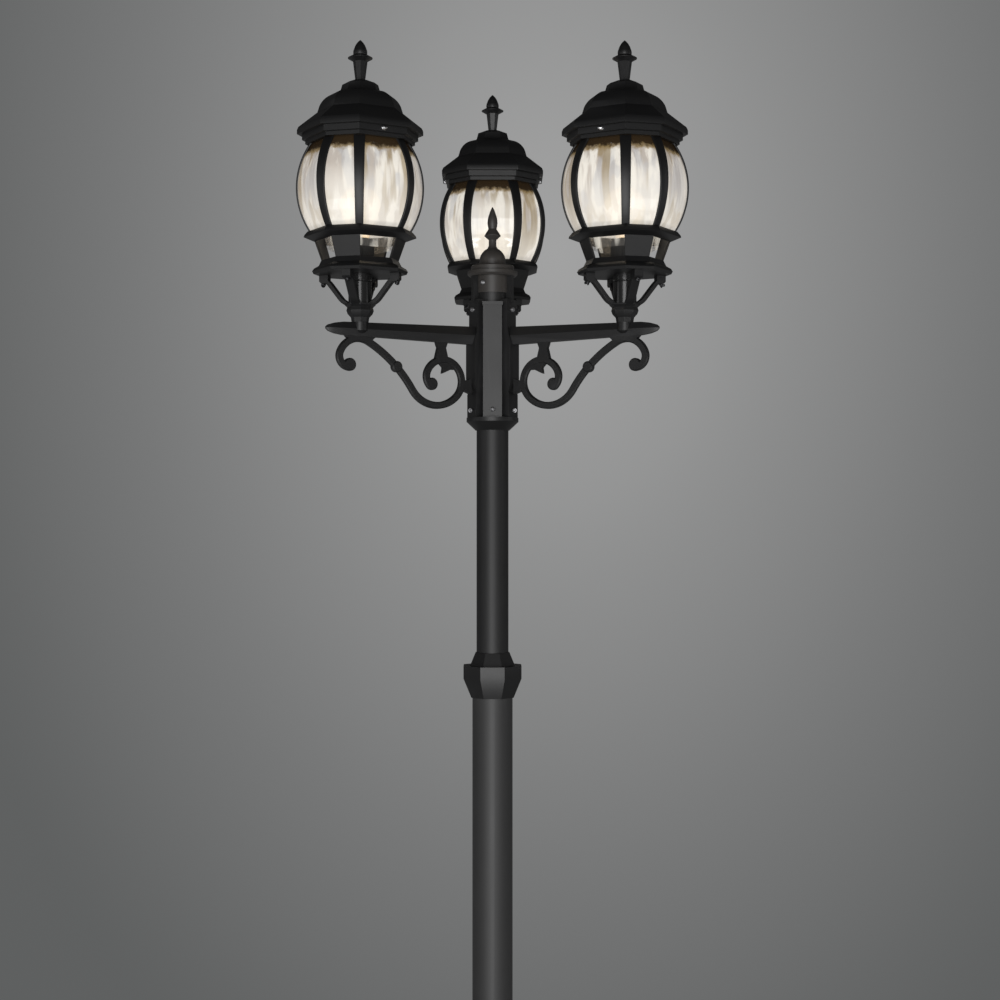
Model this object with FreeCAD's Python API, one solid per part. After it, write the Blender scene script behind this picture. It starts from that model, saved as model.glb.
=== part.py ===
import FreeCAD, Part
import math
import os

from FreeCAD import Vector

# Triple head lamp post, in millimetres, +Z up. The origin is the middle of the base's
# underside. The post's axis is the Z axis, and the side seen first faces -Y. Three arms
# leave the hub 120 degrees apart, each with its own eight-sided lantern.

# ---------------------------------------------------------------- clearances
FIT = 0.15              # radial gap of a fixed fit, such as a tube in its socket
PLAY = 0.3              # gap between pieces that move past each other
HOLE_PLAY = 0.2         # radial gap round a screw's shank

# ---------------------------------------------------------------- arms
ARM_ANGLES = {"left": 210.0, "right": 330.0, "rear": 90.0}
ARM_REACH = 223.0       # from the post's axis to a lantern's axis
ARM_RISE = 142.2        # from the hub's underside to the arm's centre line
ARM_ROOT_HEIGHT = 27.4
ARM_END_HEIGHT = 20.0   # at the lantern's axis
ARM_ROOT_WIDTH = 20.0
ARM_END_WIDTH = 16.0
ARM_FLAT = 0.55         # width of the top flat as a share of the full width
ARM_TAIL = 28.0         # full section beyond the lantern's axis
ARM_POINT = 27.0        # pointed end beyond that
ARM_POINT_SIZE = 3.6    # width and height of the blunt tip
ARM_BORE_R = 4.0        # wireway
BOSS_R = 11.5           # round boss on the arm that carries the cup
BOSS_DROP = 2.0         # how far the boss reaches below the arm's centre line
POCKET_R = 7.5          # pocket in the boss where the lead turns upward
POCKET_DOWN = 5.0
POCKET_UP = 4.7

# Back plate of an arm, screwed to the hub column.
PLATE_WIDTH = 27.0
PLATE_TOP = 91.8        # above the arm's centre line
PLATE_BOTTOM = 123.2    # below the arm's centre line
PLATE_EAR_R = 35.0      # outer face of the narrow ear beside the cap
PLATE_EAR_WIDTH = 7.0
PLATE_SHOULDER_R = 33.4     # outer face above the arm
PLATE_SHOULDER = 55.3       # top of that face, above the arm
PLATE_BODY_R = 38.7     # outer face below the arm
PLATE_BODY_DEPTH = 71.7     # lower end of that face, below the arm
PLATE_FOOT_R = 36.5     # outer face at the lower screw
PLATE_WAIST_R = 35.0    # between the body and the foot
PLATE_WAIST = 84.7      # below the arm's centre line
PLATE_STEP = 4.0        # height over which the plate's face steps in or out
PLATE_SCREW_UP = 39.8
PLATE_SCREW_DOWN = 112.7

# ---------------------------------------------------------------- scroll under each arm
BAR_WIDTH = 10.5        # of the scroll's bar, seen from the side
BAR_THICK = 8.0
BAR_CHAMFER = 1.6
SCROLL_START = (239.8, -55.9)   # eye of the outer curl, from the post's axis and the arm
SCROLL_HEADING = -1.2           # direction of the bar there, in degrees
# Radius and turn of each arc in order; a positive turn is to the left.
SCROLL_ARCS = (
    (16.2, 112.7),
    (32.2, 97.0),
    (196.9, 29.1),
    (47.8, -102.6),
    (32.2, -111.3),
    (29.5, -90.4),
    (19.6, -69.4),
)
OUTER_EYE_R = 9.5
INNER_EYE_R = 9.3
EYE_INSET = 4.0         # how far an eye's middle lies inside the curl
KNOT_R = 8.2            # round collar on the sloping part of the bar
KNOT_THICK = 10.5
KNOT_ARC_SHARE = 0.58   # where it sits along the long arc
LINK_REACH = 88.9       # upright that joins the inner curl to the arm
LINK_TOP_WIDTH = 19.0
LINK_NECK_WIDTH = 13.0
LINK_NECK_DROP = 20.7   # below the arm's centre line
LINK_FOOT_DROP = 37.7
# Claw inside the inner curl, from the post's axis and the arm's centre line.
CLAW = (
    (97.0, -39.7), (87.0, -50.2), (88.3, -59.2), (82.5, -56.7), (74.0, -52.7), (64.0, -52.7), (72.0, -39.7),
)
PAD_REACH = 223.5       # pad under the arm at the top of the arch
PAD_WIDTH = 49.0
PAD_FOOT_WIDTH = 37.0
PAD_DROP = 15.7
HEEL_DROP = 76.7        # heel that meets the back plate
HEEL_HEIGHT = 24.0
HEEL_NECK = 14.0
HEEL_REACH = 52.0

# ---------------------------------------------------------------- post
BASE_ACROSS = 100.0     # half the width across flats of the base's flange
BASE_FLANGE = 8.0
BASE_FLANGE_BEVEL = 4.0
BASE_WALL = 5.0
BELL_FOOT_R = 70.0
BELL_FOOT = 14.0
BELL_NECK_R = 42.0
BELL_NECK = 84.0
BELL_SAG = 9.0          # how far the bell's side curves in from a straight slope
BEAD_R = 47.0
BEAD_RISE = 3.0         # from the bell's neck to the bead's widest part
BEAD_HEIGHT = 20.0
BEAD_SLOPE = 6.0        # height of the bead's upper slope
SOCKET_WALL = 5.5
SOCKET_DEPTH = 55.0
WEB = 9.0               # floor of the socket, above the wiring space
CABLE_WAY_R = 22.0
ANCHOR_PCD = 170.0
ANCHOR_HOLE_R = 4.5
ANCHOR_COUNT = 4
LOWER_TUBE_R = 30.5
LOWER_TUBE_WALL = 2.0
LOWER_TUBE_LENGTH = 1065.0
UPPER_TUBE_R = 24.25
UPPER_TUBE_WALL = 2.0
UPPER_TUBE_LENGTH = 438.0

# Collar that joins the two tubes.
COLLAR_WEB = 4.0
COLLAR_WEB_HOLE_R = 12.0
COLLAR_SKIRT = 32.0     # depth of its lower socket
COLLAR_RIM_R = 43.8
COLLAR_RIM_DROP = 2.6   # rim's lower edge, below the lower tube's top
COLLAR_RIM_HEIGHT = 19.0
COLLAR_CROWN_R = 33.5
COLLAR_TOP = 35.6       # above the lower tube's top
COLLAR_LIP = 1.3        # wall left at each thin end
COLLAR_SCREW_INSET = 3.0    # depth of the set screws' seats, from the rim
COLLAR_LOW_SCREW = 7.5      # below the lower tube's top
COLLAR_TOP_SCREW = 7.5      # above the upper tube's foot

# ---------------------------------------------------------------- hub
HUB_SOCKET = 69.0       # the upper tube's length inside the hub
HUB_LIP = 1.3
HUB_RING_R = 39.5
HUB_RING = 19.0         # widest part of the lower ring, above the hub's underside
HUB_RING_EDGE = 6.0
GROOVE = 6.0            # width of the groove behind the ring
HUB_SEAT = 14.5         # floor of the groove behind the ring, above the underside
CORE_R = 25.6
CORE_BORE_R = 21.0
HUB_WEB = 5.0
HUB_WEB_HOLE_R = 10.0
PILASTER_R = 33.0
PILASTER_WIDTH = 28.5
PILASTER_TOP = 193.0    # above the hub's underside
PILASTER_LIP = 1.2
PILASTER_LIP_HEIGHT = 5.5
CORE_TOP = 230.0
CAP_SKIRT = 208.0       # lower edge of the cap's neck, above the hub's underside
CAP_NECK_R = 27.2
CAP_FLANGE = 234.0      # underside of the cap's flange
CAP_FLANGE_R = 38.0
CAP_STEP_R = 32.8
CAP_STEP = 8.5          # height of each of the two steps
CAP_SCREW = 222.7
CAP_SCREW_TURN = -31.0  # from the front
PILASTER_SCREW = 30.5

HUB_FINIAL_STUD_R = 5.0
HUB_FINIAL_STUD = 10.0
HUB_DOME_R = 20.0
HUB_DOME = 26.0
HUB_FINIAL_NECK_R = 5.8
HUB_FINIAL_COLLAR_R = 12.4
HUB_FINIAL_UNDER = 6.8  # height of the collar's lower slope
HUB_FINIAL_OVER = 10.0  # and of its upper slope
HUB_FINIAL_COLLAR = 45.8
HUB_FINIAL_HEIGHT = 90.0
HUB_EGG_R = 7.6

# ---------------------------------------------------------------- lantern, heights from the arm's top
SIDE_RATIO = 0.5        # half the length of a wide side as a share of its distance from the axis
REGULAR = math.tan(math.radians(22.5))

CUP_FOOT_R = 11.5
CUP_RIM_R = 18.5
CUP_WAIST_R = 17.4
CUP_TOP_R = 20.9
CUP_RIM = 17.0
CUP_HEIGHT = 27.0
CUP_RECESS = 2.0
STEM_R = 17.0
STEM_BORE_R = 12.0
STEM_GROOVE = 60.0
STEM_GROOVE_WIDTH = 3.0
STEM_GROOVE_DEPTH = 1.2
NIPPLE_R = 5.0
NIPPLE_BORE_R = 3.8
NUT_ACROSS = 7.0
NUT_HEIGHT = 4.0

BASKET_FLOOR = 70.0     # underside of the basket, above the arm
FLOOR_THICK = 3.0
SILL_LOW_B = 60.5       # B: half the width across the wide sides
SILL_RIM_B = 62.5
SILL_RIM = 74.0
SILL_TOP_B = 50.4
SILL_TOP = 90.0
SILL_FOOT = 8.0         # height of the sill's flared foot, below its top
SILL_FOOT_OUT = 3.5
SILL_BEVEL = 4.0        # bevel above the sill's rim
SILL_BEVEL_IN = 2.3
BASKET_WALL = 3.0
WAIST_LOW = 118.5
WAIST_LOW_B = 61.5
WAIST_RIM = 123.5
WAIST_RIM_B = 73.5
WAIST_BAND = 3.0        # nearly upright face above the rim
WAIST_BAND_IN = 0.8
WAIST_TOP = 132.0
WAIST_TOP_B = 68.5
PANEL_TOP_B = 59.5      # outer face of the corner panels under the waist ring
WINDOW_MARGIN = 1.5

GLASS_MAX_B = 81.5
GLASS_MAX = 194.8
GLASS_ARC_R = 126.0     # radius of the bulged side, seen from the front
GLASS_TOP = 261.3
GLASS_WALL = 2.5
GLASS_SHOULDER = 3.0
GLASS_NECK_B = 49.0
GLASS_NECK_END_B = 42.5
GLASS_NECK = 26.0       # how far the neck hangs below the shoulder
RIB_THICK = 1.8
RIB_TOP_WIDTH = 16.5
RIB_END_WIDTH = 11.5

TOP_RING_B = 68.2
TOP_RING_INNER_B = 56.0
TOP_RING_HEIGHT = 12.0
TOP_RING_LIP = 3.0
TOP_RING_BAND = 3.0

# Roof, heights above its lower edge.
ROOF_WALL = 2.5
FASCIA_LOW_B = 71.5
FASCIA_STEP = 6.0
FASCIA_B = 75.7
EAVE = 14.6
EAVE_B = 82.3
EAVE_RIM = 6.0
EAVE_EDGE_B = 80.5
EAVE_EDGE = 25.2
DOME_FOOT_B = 55.8
DOME_FOOT = 46.7
DOME_SIDE_B = 53.3
DOME_SIDE = 55.7
DOME_SHOULDER_B = 46.5
DOME_SHOULDER = 66.7
DOME_TOP_B = 27.5
DOME_TOP = 75.7
CROWN_FOOT_B = 25.8
CROWN_FOOT = 78.7
CROWN_RIM_B = 23.5
CROWN_RIM = 87.7
CROWN_TOP_B = 10.5
CROWN_TOP = 93.7
ROOF_LEDGE_B = 62.0
ROOF_SCREW = 10.7

# Finial on a roof, heights above the roof's top.
FINIAL_FOOT_R = 6.6
FINIAL_NECK_R = 9.8
FINIAL_COLLAR_R = 18.0
FINIAL_COLLAR = 33.5
FINIAL_COLLAR_UNDER = 5.5   # height of the collar's lower slope
FINIAL_COLLAR_OVER = 4.5    # and of its upper slope
FINIAL_EDGE = 0.8           # blunt edge between the two
FINIAL_EGG_R = 10.3
FINIAL_EGG = 41.0       # height of the egg's widest part
FINIAL_HEIGHT = 60.0
FINIAL_STUD_R = 4.0
FINIAL_STUD = 8.0

# ---------------------------------------------------------------- screw-base bulb and its holder
HOLDER_R = 20.5
HOLDER_HEIGHT = 48.0
HOLDER_FOOT_BORE_R = 10.0
HOLDER_FOOT_BORE = 16.0
HOLDER_WEB = 5.0
HOLDER_RIM = 3.0
BULB_CAP_R = 13.1
BULB_CAP_LENGTH = 24.0
BULB_TIP = 4.5
BULB_TIP_R = 4.5
BULB_THREAD_PITCH = 3.6
BULB_THREAD_TURNS = 5
BULB_THREAD_DEPTH = 0.9
BULB_R = 30.0
BULB_LENGTH = 105.0
BULB_WALL = 1.0
CONTACT_R = 3.5

# ---------------------------------------------------------------- leg bracket
LEG_WIDTH = 13.0
LEG_THICK = 6.7
LEG_CHAMFER = 1.2
LEG_START = (51.2, 61.5)    # top of the sloping part, from the lantern's axis and the arm's top
LEG_HEADING = 208.0
LEG_PATH = ((16.0, 24.0), (28.0, 0.0), (20.0, -20.0), (9.0, 0.0))   # arc or straight length, turn
LUG_REACH = 54.5
LUG_SIZE = 13.5
LUG_SCREW_REACH = 57.0
LUG_HEIGHT = 12.0
LUG_CHAMFER = 3.0

# ---------------------------------------------------------------- fasteners and wiring
SCREW_HEAD_R = 3.6
SCREW_HEAD = 2.4
SCREW_SHANK_R = 2.0
RECESS_WIDTH = 1.0
RECESS_LENGTH = 4.2
RECESS_DEPTH = 1.1
COLLAR_SCREW_ANGLES = (45.0, 135.0)
BASE_SCREW_ANGLES = (30.0, 150.0, 270.0)
BASE_SCREW_LENGTH = 9.0

LAMP_LEAD_R = 2.5
LAMP_LEAD_BEND = 8.0
MAINS_LEAD_R = 4.0
CONNECTOR_R = 12.0
CONNECTOR_HEIGHT = 34.0
TERMINAL_SIZE = (15.0, 30.0, 20.0)
TERMINAL_REACH = 20.0   # from the post's axis to the block's middle
TERMINAL_DROP = 6.0     # height of the hanger between the socket's floor and the block
HANGER = 7.0

# ---------------------------------------------------------------- heights that follow
TUBE_SEAT_Z = BELL_NECK + WEB + SOCKET_WALL - BASE_WALL
LOWER_TUBE_TOP_Z = TUBE_SEAT_Z + LOWER_TUBE_LENGTH
UPPER_TUBE_SEAT_Z = LOWER_TUBE_TOP_Z + COLLAR_WEB
HUB_Z = UPPER_TUBE_SEAT_Z + UPPER_TUBE_LENGTH - HUB_SOCKET
ARM_Z = HUB_Z + ARM_RISE
ARM_TOP_Z = ARM_Z + ARM_END_HEIGHT / 2
CAP_TOP_Z = HUB_Z + CAP_FLANGE + 2 * CAP_STEP
BASKET_Z = ARM_TOP_Z + BASKET_FLOOR
HOLDER_Z = BASKET_Z + FLOOR_THICK
BULB_Z = HOLDER_Z + HOLDER_FOOT_BORE + HOLDER_WEB + BULB_TIP + PLAY
GLASS_TOP_Z = ARM_TOP_Z + GLASS_TOP
ROOF_Z = GLASS_TOP_Z + TOP_RING_HEIGHT + PLAY - EAVE + PLAY
FINIAL_Z = ROOF_Z + CROWN_TOP

AXIS = Vector(0, 0, 1)
ORIGIN = Vector(0, 0, 0)
VIA = "via"             # marks an outline's point as the middle of an arc


# ================================================================ general shapes
def outline_edges(outline, scale=1.0):
    """Edges through the points (half width, height); a point marked VIA is an arc's middle.

    An arc that is centred beyond the axis becomes a spline, so that it can be revolved."""
    edges = []
    start = None
    middle = None
    for point in outline:
        here = Vector(scale * point[0], 0, point[1])
        if len(point) == 3:
            middle = here
            continue
        if start is not None and middle is not None:
            arc = Part.Arc(start, middle, here).toShape()
            beyond_axis = arc.Curve.Center.x * scale < 0
            edges.append(arc.toNurbs().Edges[0] if beyond_axis else arc)
        elif start is not None:
            edges.append(Part.LineSegment(start, here).toShape())
        start = here
        middle = None
    return edges


def closed_face(edges):
    return Part.Face(Part.Wire(Part.sortEdges(edges)[0]))


def straight(a, b):
    return Part.LineSegment(a, b).toShape()


def eight_sided(outline, ratio):
    """A body with four wide and four narrow sides, each following the same outline."""
    reach = 3 * max(point[0] for point in outline)
    corner = (1 + ratio) / math.sqrt(2)
    body = None
    for scale, turn in ((1.0, 0), (1.0, 90), (corner, 45), (corner, 135)):
        edges = outline_edges(outline, scale) + outline_edges(outline, -scale)
        for b, z in (outline[0][:2], outline[-1][:2]):
            if b > 0:
                edges.append(straight(Vector(-scale * b, 0, z), Vector(scale * b, 0, z)))
        slab = closed_face(edges).extrude(Vector(0, 2 * reach, 0))
        slab.translate(Vector(0, -reach, 0))
        slab.rotate(ORIGIN, AXIS, turn)
        body = slab if body is None else body.common(slab)
    return body


def turned(outline):
    """A round body; the outline runs from its lowest point to its highest."""
    edges = outline_edges(outline)
    low = outline[0]
    high = outline[-1]
    for b, z in (low[:2], high[:2]):
        if b > 0:
            edges.append(straight(Vector(0, 0, z), Vector(b, 0, z)))
    edges.append(straight(Vector(0, 0, low[1]), Vector(0, 0, high[1])))
    return closed_face(edges).revolve(ORIGIN, AXIS, 360)


def cylinder(radius, low, high, x=0.0, y=0.0):
    return Part.makeCylinder(radius, high - low, Vector(x, y, low), AXIS)


def box(size_x, size_y, size_z, x, y, z):
    """A box whose bottom face is centred on x, y at height z."""
    return Part.makeBox(size_x, size_y, size_z, Vector(x - size_x / 2, y - size_y / 2, z))


def upright_plate(points, thick):
    """A plate in the X-Z plane, centred on it, with straight edges."""
    corners = [Vector(x, -thick / 2, z) for x, z in points]
    face = Part.Face(Part.makePolygon(corners + corners[:1]))
    return face.extrude(Vector(0, thick, 0))


def bar_face(width, thick, chamfer):
    """A bar's chamfered section, square to X."""
    w = width / 2
    t = thick / 2
    c = chamfer
    corners = [(w, t - c), (w - c, t), (c - w, t), (-w, t - c)]
    corners += [(-w, c - t), (c - w, -t), (w - c, -t), (w, c - t)]
    points = [Vector(0, y, z) for z, y in corners]
    return Part.Face(Part.makePolygon(points + points[:1]))


def round_face(radius):
    return Part.Face(Part.Wire(Part.makeCircle(radius, ORIGIN, Vector(1, 0, 0))))


def follow(section, start, heading, path):
    """Sweeps a section in the X-Z plane along arcs (radius, turn) and straights (length, 0).

    Returns the solids and the last point with its heading."""
    solids = []
    x, z = start
    for size, turn in path:
        face = section.copy()
        face.rotate(ORIGIN, Vector(0, -1, 0), heading)
        face.translate(Vector(x, 0, z))
        way = math.radians(heading)
        if turn == 0:
            step = Vector(size * math.cos(way), 0, size * math.sin(way))
            solids.append(face.extrude(step))
            x += step.x
            z += step.z
            continue
        side = math.copysign(1.0, turn)
        centre = Vector(x - side * size * math.sin(way), 0, z + side * size * math.cos(way))
        solids.append(face.revolve(centre, Vector(0, -1, 0), turn))
        heading += turn
        way = math.radians(heading)
        x = centre.x + side * size * math.sin(way)
        z = centre.z - side * size * math.cos(way)
    return solids, (x, z), heading


def fused(solids):
    return solids[0].multiFuse(solids[1:]).removeSplitter()


def placed(shape, angle, reach=0.0, height=0.0):
    """Moves a shape out along X and up, then turns it about the post's axis."""
    copy = shape.copy()
    copy.translate(Vector(reach, 0, height))
    copy.rotate(ORIGIN, AXIS, angle)
    return copy


def screw(length):
    """A pan-head screw along X: its head's seat is at X = 0 and its shank runs inward."""
    head = turned([(SCREW_HEAD_R, 0), (SCREW_HEAD_R * 0.87, SCREW_HEAD * 0.75, VIA), (0, SCREW_HEAD)])
    recess = box(RECESS_LENGTH, RECESS_WIDTH, RECESS_DEPTH, 0, 0, SCREW_HEAD - RECESS_DEPTH)
    cross = box(RECESS_WIDTH, RECESS_LENGTH, RECESS_DEPTH, 0, 0, SCREW_HEAD - RECESS_DEPTH)
    body = head.fuse(cylinder(SCREW_SHANK_R, -length, 0)).cut(recess.fuse(cross))
    body.rotate(ORIGIN, Vector(0, 1, 0), 90)
    return body


def screw_hole(length, beyond=30.0):
    """The hole for screw(length), open outward so that its head is free too."""
    hole = cylinder(SCREW_SHANK_R + HOLE_PLAY, -length - HOLE_PLAY, 0)
    hole = hole.fuse(cylinder(SCREW_HEAD_R + HOLE_PLAY, 0, beyond))
    hole.rotate(ORIGIN, Vector(0, 1, 0), 90)
    return hole


# ================================================================ post
def bell_arc(foot_r, foot, neck_r, neck):
    """Middle point of the bell's side, which curves in from a straight slope."""
    run = foot_r - neck_r
    rise = neck - foot
    length = math.hypot(run, rise)
    mid_r = (foot_r + neck_r) / 2 - BELL_SAG * rise / length
    mid = (foot + neck) / 2 - BELL_SAG * run / length
    return (mid_r, mid, VIA)


def base_screw(angle):
    return placed(screw(BASE_SCREW_LENGTH - SCREW_HEAD), angle, socket_outer_r(), socket_screw_z())


def socket_outer_r():
    return LOWER_TUBE_R + FIT + SOCKET_WALL


def socket_screw_z():
    return TUBE_SEAT_Z + SOCKET_DEPTH * 0.75


def base():
    socket_r = socket_outer_r()
    bead = BELL_NECK + BEAD_RISE
    bevel = BASE_FLANGE_BEVEL
    outline = [
        (BASE_ACROSS, 0), (BASE_ACROSS, BASE_FLANGE), (BASE_ACROSS - bevel, BASE_FLANGE + bevel),
        (BELL_FOOT_R + 2, BASE_FLANGE + bevel), (BELL_FOOT_R, BELL_FOOT),
        bell_arc(BELL_FOOT_R, BELL_FOOT, BELL_NECK_R, BELL_NECK), (BELL_NECK_R, BELL_NECK),
        (BEAD_R, bead), (BEAD_R, bead + BEAD_HEIGHT - BEAD_SLOPE), (BELL_NECK_R, bead + BEAD_HEIGHT),
    ]
    body = eight_sided(outline, REGULAR)
    body = body.fuse(cylinder(socket_r, BELL_NECK, TUBE_SEAT_Z + SOCKET_DEPTH))
    top = TUBE_SEAT_Z - WEB
    inner = [
        (BELL_FOOT_R - BASE_WALL, 0), (BELL_FOOT_R - BASE_WALL, BELL_FOOT - BASE_WALL),
        bell_arc(BELL_FOOT_R - BASE_WALL, BELL_FOOT - BASE_WALL, BELL_NECK_R - BASE_WALL, top),
        (BELL_NECK_R - BASE_WALL, top),
    ]
    body = body.cut(eight_sided(inner, REGULAR))
    body = body.cut(cylinder(LOWER_TUBE_R + FIT, TUBE_SEAT_Z, TUBE_SEAT_Z + SOCKET_DEPTH + 1))
    hanger_low = top - TERMINAL_DROP
    hanger = box(HANGER, TERMINAL_SIZE[1] * 0.5, TERMINAL_DROP + WEB / 2, TERMINAL_REACH + 3, 0, hanger_low)
    body = body.cut(cylinder(CABLE_WAY_R, top - 1, TUBE_SEAT_Z + 1)).fuse(hanger)
    for k in range(ANCHOR_COUNT):
        turn = math.radians(45 + k * 360 / ANCHOR_COUNT)
        x = ANCHOR_PCD / 2 * math.cos(turn)
        y = ANCHOR_PCD / 2 * math.sin(turn)
        body = body.cut(cylinder(ANCHOR_HOLE_R, -1, BASE_FLANGE + 5, x, y))
    for angle in BASE_SCREW_ANGLES:
        hole = screw_hole(BASE_SCREW_LENGTH - SCREW_HEAD)
        body = body.cut(placed(hole, angle, socket_r, socket_screw_z()))
    return body.removeSplitter()


def tube(radius, wall, low, length):
    return cylinder(radius, low, low + length).cut(cylinder(radius - wall, low, low + length))


def lower_tube():
    body = tube(LOWER_TUBE_R, LOWER_TUBE_WALL, TUBE_SEAT_Z, LOWER_TUBE_LENGTH)
    for angle in BASE_SCREW_ANGLES:
        hole = screw_hole(BASE_SCREW_LENGTH - SCREW_HEAD)
        body = body.cut(placed(hole, angle, socket_outer_r(), socket_screw_z()))
    for angle in COLLAR_SCREW_ANGLES:
        body = body.cut(placed(screw_hole(collar_low_screw()), angle, *collar_low_seat()))
    return body


def upper_tube():
    body = tube(UPPER_TUBE_R, UPPER_TUBE_WALL, UPPER_TUBE_SEAT_Z, UPPER_TUBE_LENGTH)
    for angle in COLLAR_SCREW_ANGLES:
        body = body.cut(placed(screw_hole(collar_top_screw()), angle, *collar_top_seat()))
    for angle in pilaster_angles():
        body = body.cut(placed(screw_hole(pilaster_screw_length()), angle, *pilaster_screw_seat()))
    for angle in ARM_ANGLES.values():
        body = body.cut(placed(screw_hole(foot_screw_length()), angle, *foot_screw_seat()))
    return body


def collar_low_seat():
    """Where the lower set screws' heads bear: a spot face in the lower slope."""
    return COLLAR_RIM_R - COLLAR_SCREW_INSET, LOWER_TUBE_TOP_Z - COLLAR_LOW_SCREW


def collar_low_screw():
    return COLLAR_RIM_R - COLLAR_SCREW_INSET - (LOWER_TUBE_R - LOWER_TUBE_WALL)


def collar_top_seat():
    return COLLAR_RIM_R - COLLAR_SCREW_INSET, UPPER_TUBE_SEAT_Z + COLLAR_TOP_SCREW


def collar_top_screw():
    return COLLAR_RIM_R - COLLAR_SCREW_INSET - (UPPER_TUBE_R - UPPER_TUBE_WALL)


def pole_collar():
    top = LOWER_TUBE_TOP_Z
    outline = [
        (LOWER_TUBE_R + FIT + COLLAR_LIP, top - COLLAR_SKIRT),
        (COLLAR_RIM_R, top - COLLAR_RIM_DROP),
        (COLLAR_RIM_R, top - COLLAR_RIM_DROP + COLLAR_RIM_HEIGHT),
        (COLLAR_CROWN_R, top - COLLAR_RIM_DROP + COLLAR_RIM_HEIGHT),
        (UPPER_TUBE_R + FIT + COLLAR_LIP, top + COLLAR_TOP),
    ]
    body = eight_sided(outline, REGULAR)
    body = body.cut(cylinder(LOWER_TUBE_R + FIT, top - COLLAR_SKIRT - 1, top))
    body = body.cut(cylinder(UPPER_TUBE_R + FIT, top + COLLAR_WEB, top + COLLAR_TOP + 1))
    body = body.cut(cylinder(COLLAR_WEB_HOLE_R, top - 1, top + COLLAR_WEB + 1))
    for angle in COLLAR_SCREW_ANGLES:
        body = body.cut(placed(screw_hole(collar_low_screw()), angle, *collar_low_seat()))
        body = body.cut(placed(screw_hole(collar_top_screw()), angle, *collar_top_seat()))
    return body


# ================================================================ hub
def pilaster_angles():
    return [angle + 60 for angle in ARM_ANGLES.values()]


def pilaster_screw_seat():
    return PILASTER_R, HUB_Z + PILASTER_SCREW


def pilaster_screw_length():
    return PILASTER_R - (UPPER_TUBE_R - UPPER_TUBE_WALL) + 1.0


def cap_screw_seat():
    return CAP_NECK_R - 0.4, HUB_Z + CAP_SCREW


def cap_screw_length():
    return CAP_NECK_R - 0.4 - (CORE_BORE_R + 0.5)


def shoulder_screw_seat():
    return PLATE_SHOULDER_R, ARM_Z + PLATE_SCREW_UP


def shoulder_screw_length():
    return PLATE_SHOULDER_R - (CORE_BORE_R + 0.5)


def foot_screw_seat():
    return PLATE_FOOT_R, ARM_Z - PLATE_SCREW_DOWN


def foot_screw_length():
    return PLATE_FOOT_R - (UPPER_TUBE_R - UPPER_TUBE_WALL) + 1.0


def cap_screw_angles():
    return [angle + 60 + CAP_SCREW_TURN for angle in ARM_ANGLES.values()]


def hub_screw_places():
    """Every screw of the hub: its length, its turn about the post and its seat."""
    places = [(cap_screw_length(), angle, cap_screw_seat()) for angle in cap_screw_angles()]
    places += [(pilaster_screw_length(), angle, pilaster_screw_seat()) for angle in pilaster_angles()]
    for angle in ARM_ANGLES.values():
        places.append((shoulder_screw_length(), angle, shoulder_screw_seat()))
        places.append((foot_screw_length(), angle, foot_screw_seat()))
    return places


def pilaster(grow):
    """One of the column's flat-faced ribs, with a lip at its top, along +X and enlarged by grow."""
    low = HUB_Z + HUB_SEAT
    top = HUB_Z + PILASTER_TOP
    inner = CORE_R / 2
    bodies = []
    for face, width, foot in (
        (PILASTER_R, PILASTER_WIDTH, low),
        (PILASTER_R + PILASTER_LIP, PILASTER_WIDTH + 2 * PILASTER_LIP, top - PILASTER_LIP_HEIGHT),
    ):
        depth = face + grow - inner
        bodies.append(box(depth, width + 2 * grow, top - foot + 2 * grow, inner + depth / 2, 0, foot - grow))
    return fused(bodies)


def hub_column():
    seat = HUB_Z + HUB_SOCKET
    body = turned([
        (UPPER_TUBE_R + FIT + HUB_LIP, HUB_Z), (HUB_RING_R, HUB_Z + HUB_RING - HUB_RING_EDGE),
        (HUB_RING_R, HUB_Z + HUB_RING), (CORE_R + GROOVE, HUB_Z + HUB_RING),
        (CORE_R + GROOVE, HUB_Z + HUB_SEAT), (CORE_R, HUB_Z + HUB_SEAT), (CORE_R, HUB_Z + CORE_TOP),
    ])
    body = body.cut(tube(HUB_RING_R + 5, HUB_RING_R + 5 - CORE_R, ARM_Z - PLATE_BOTTOM, HUB_RING))
    for angle in pilaster_angles():
        body = body.fuse(placed(pilaster(0), angle))
    body = body.cut(cylinder(UPPER_TUBE_R + FIT, HUB_Z - 1, seat))
    body = body.cut(cylinder(CORE_BORE_R, seat + HUB_WEB, HUB_Z + CORE_TOP + 1))
    body = body.cut(cylinder(HUB_WEB_HOLE_R, seat - 1, seat + HUB_WEB + 1))
    for angle in ARM_ANGLES.values():
        wireway = cylinder(ARM_BORE_R, 0, CORE_R + 10)
        wireway.rotate(ORIGIN, Vector(0, 1, 0), 90)
        body = body.cut(placed(wireway, angle, 0, ARM_Z))
    for length, angle, (reach, height) in hub_screw_places():
        body = body.cut(placed(screw_hole(length), angle, reach, height))
    return body.removeSplitter()


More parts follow.
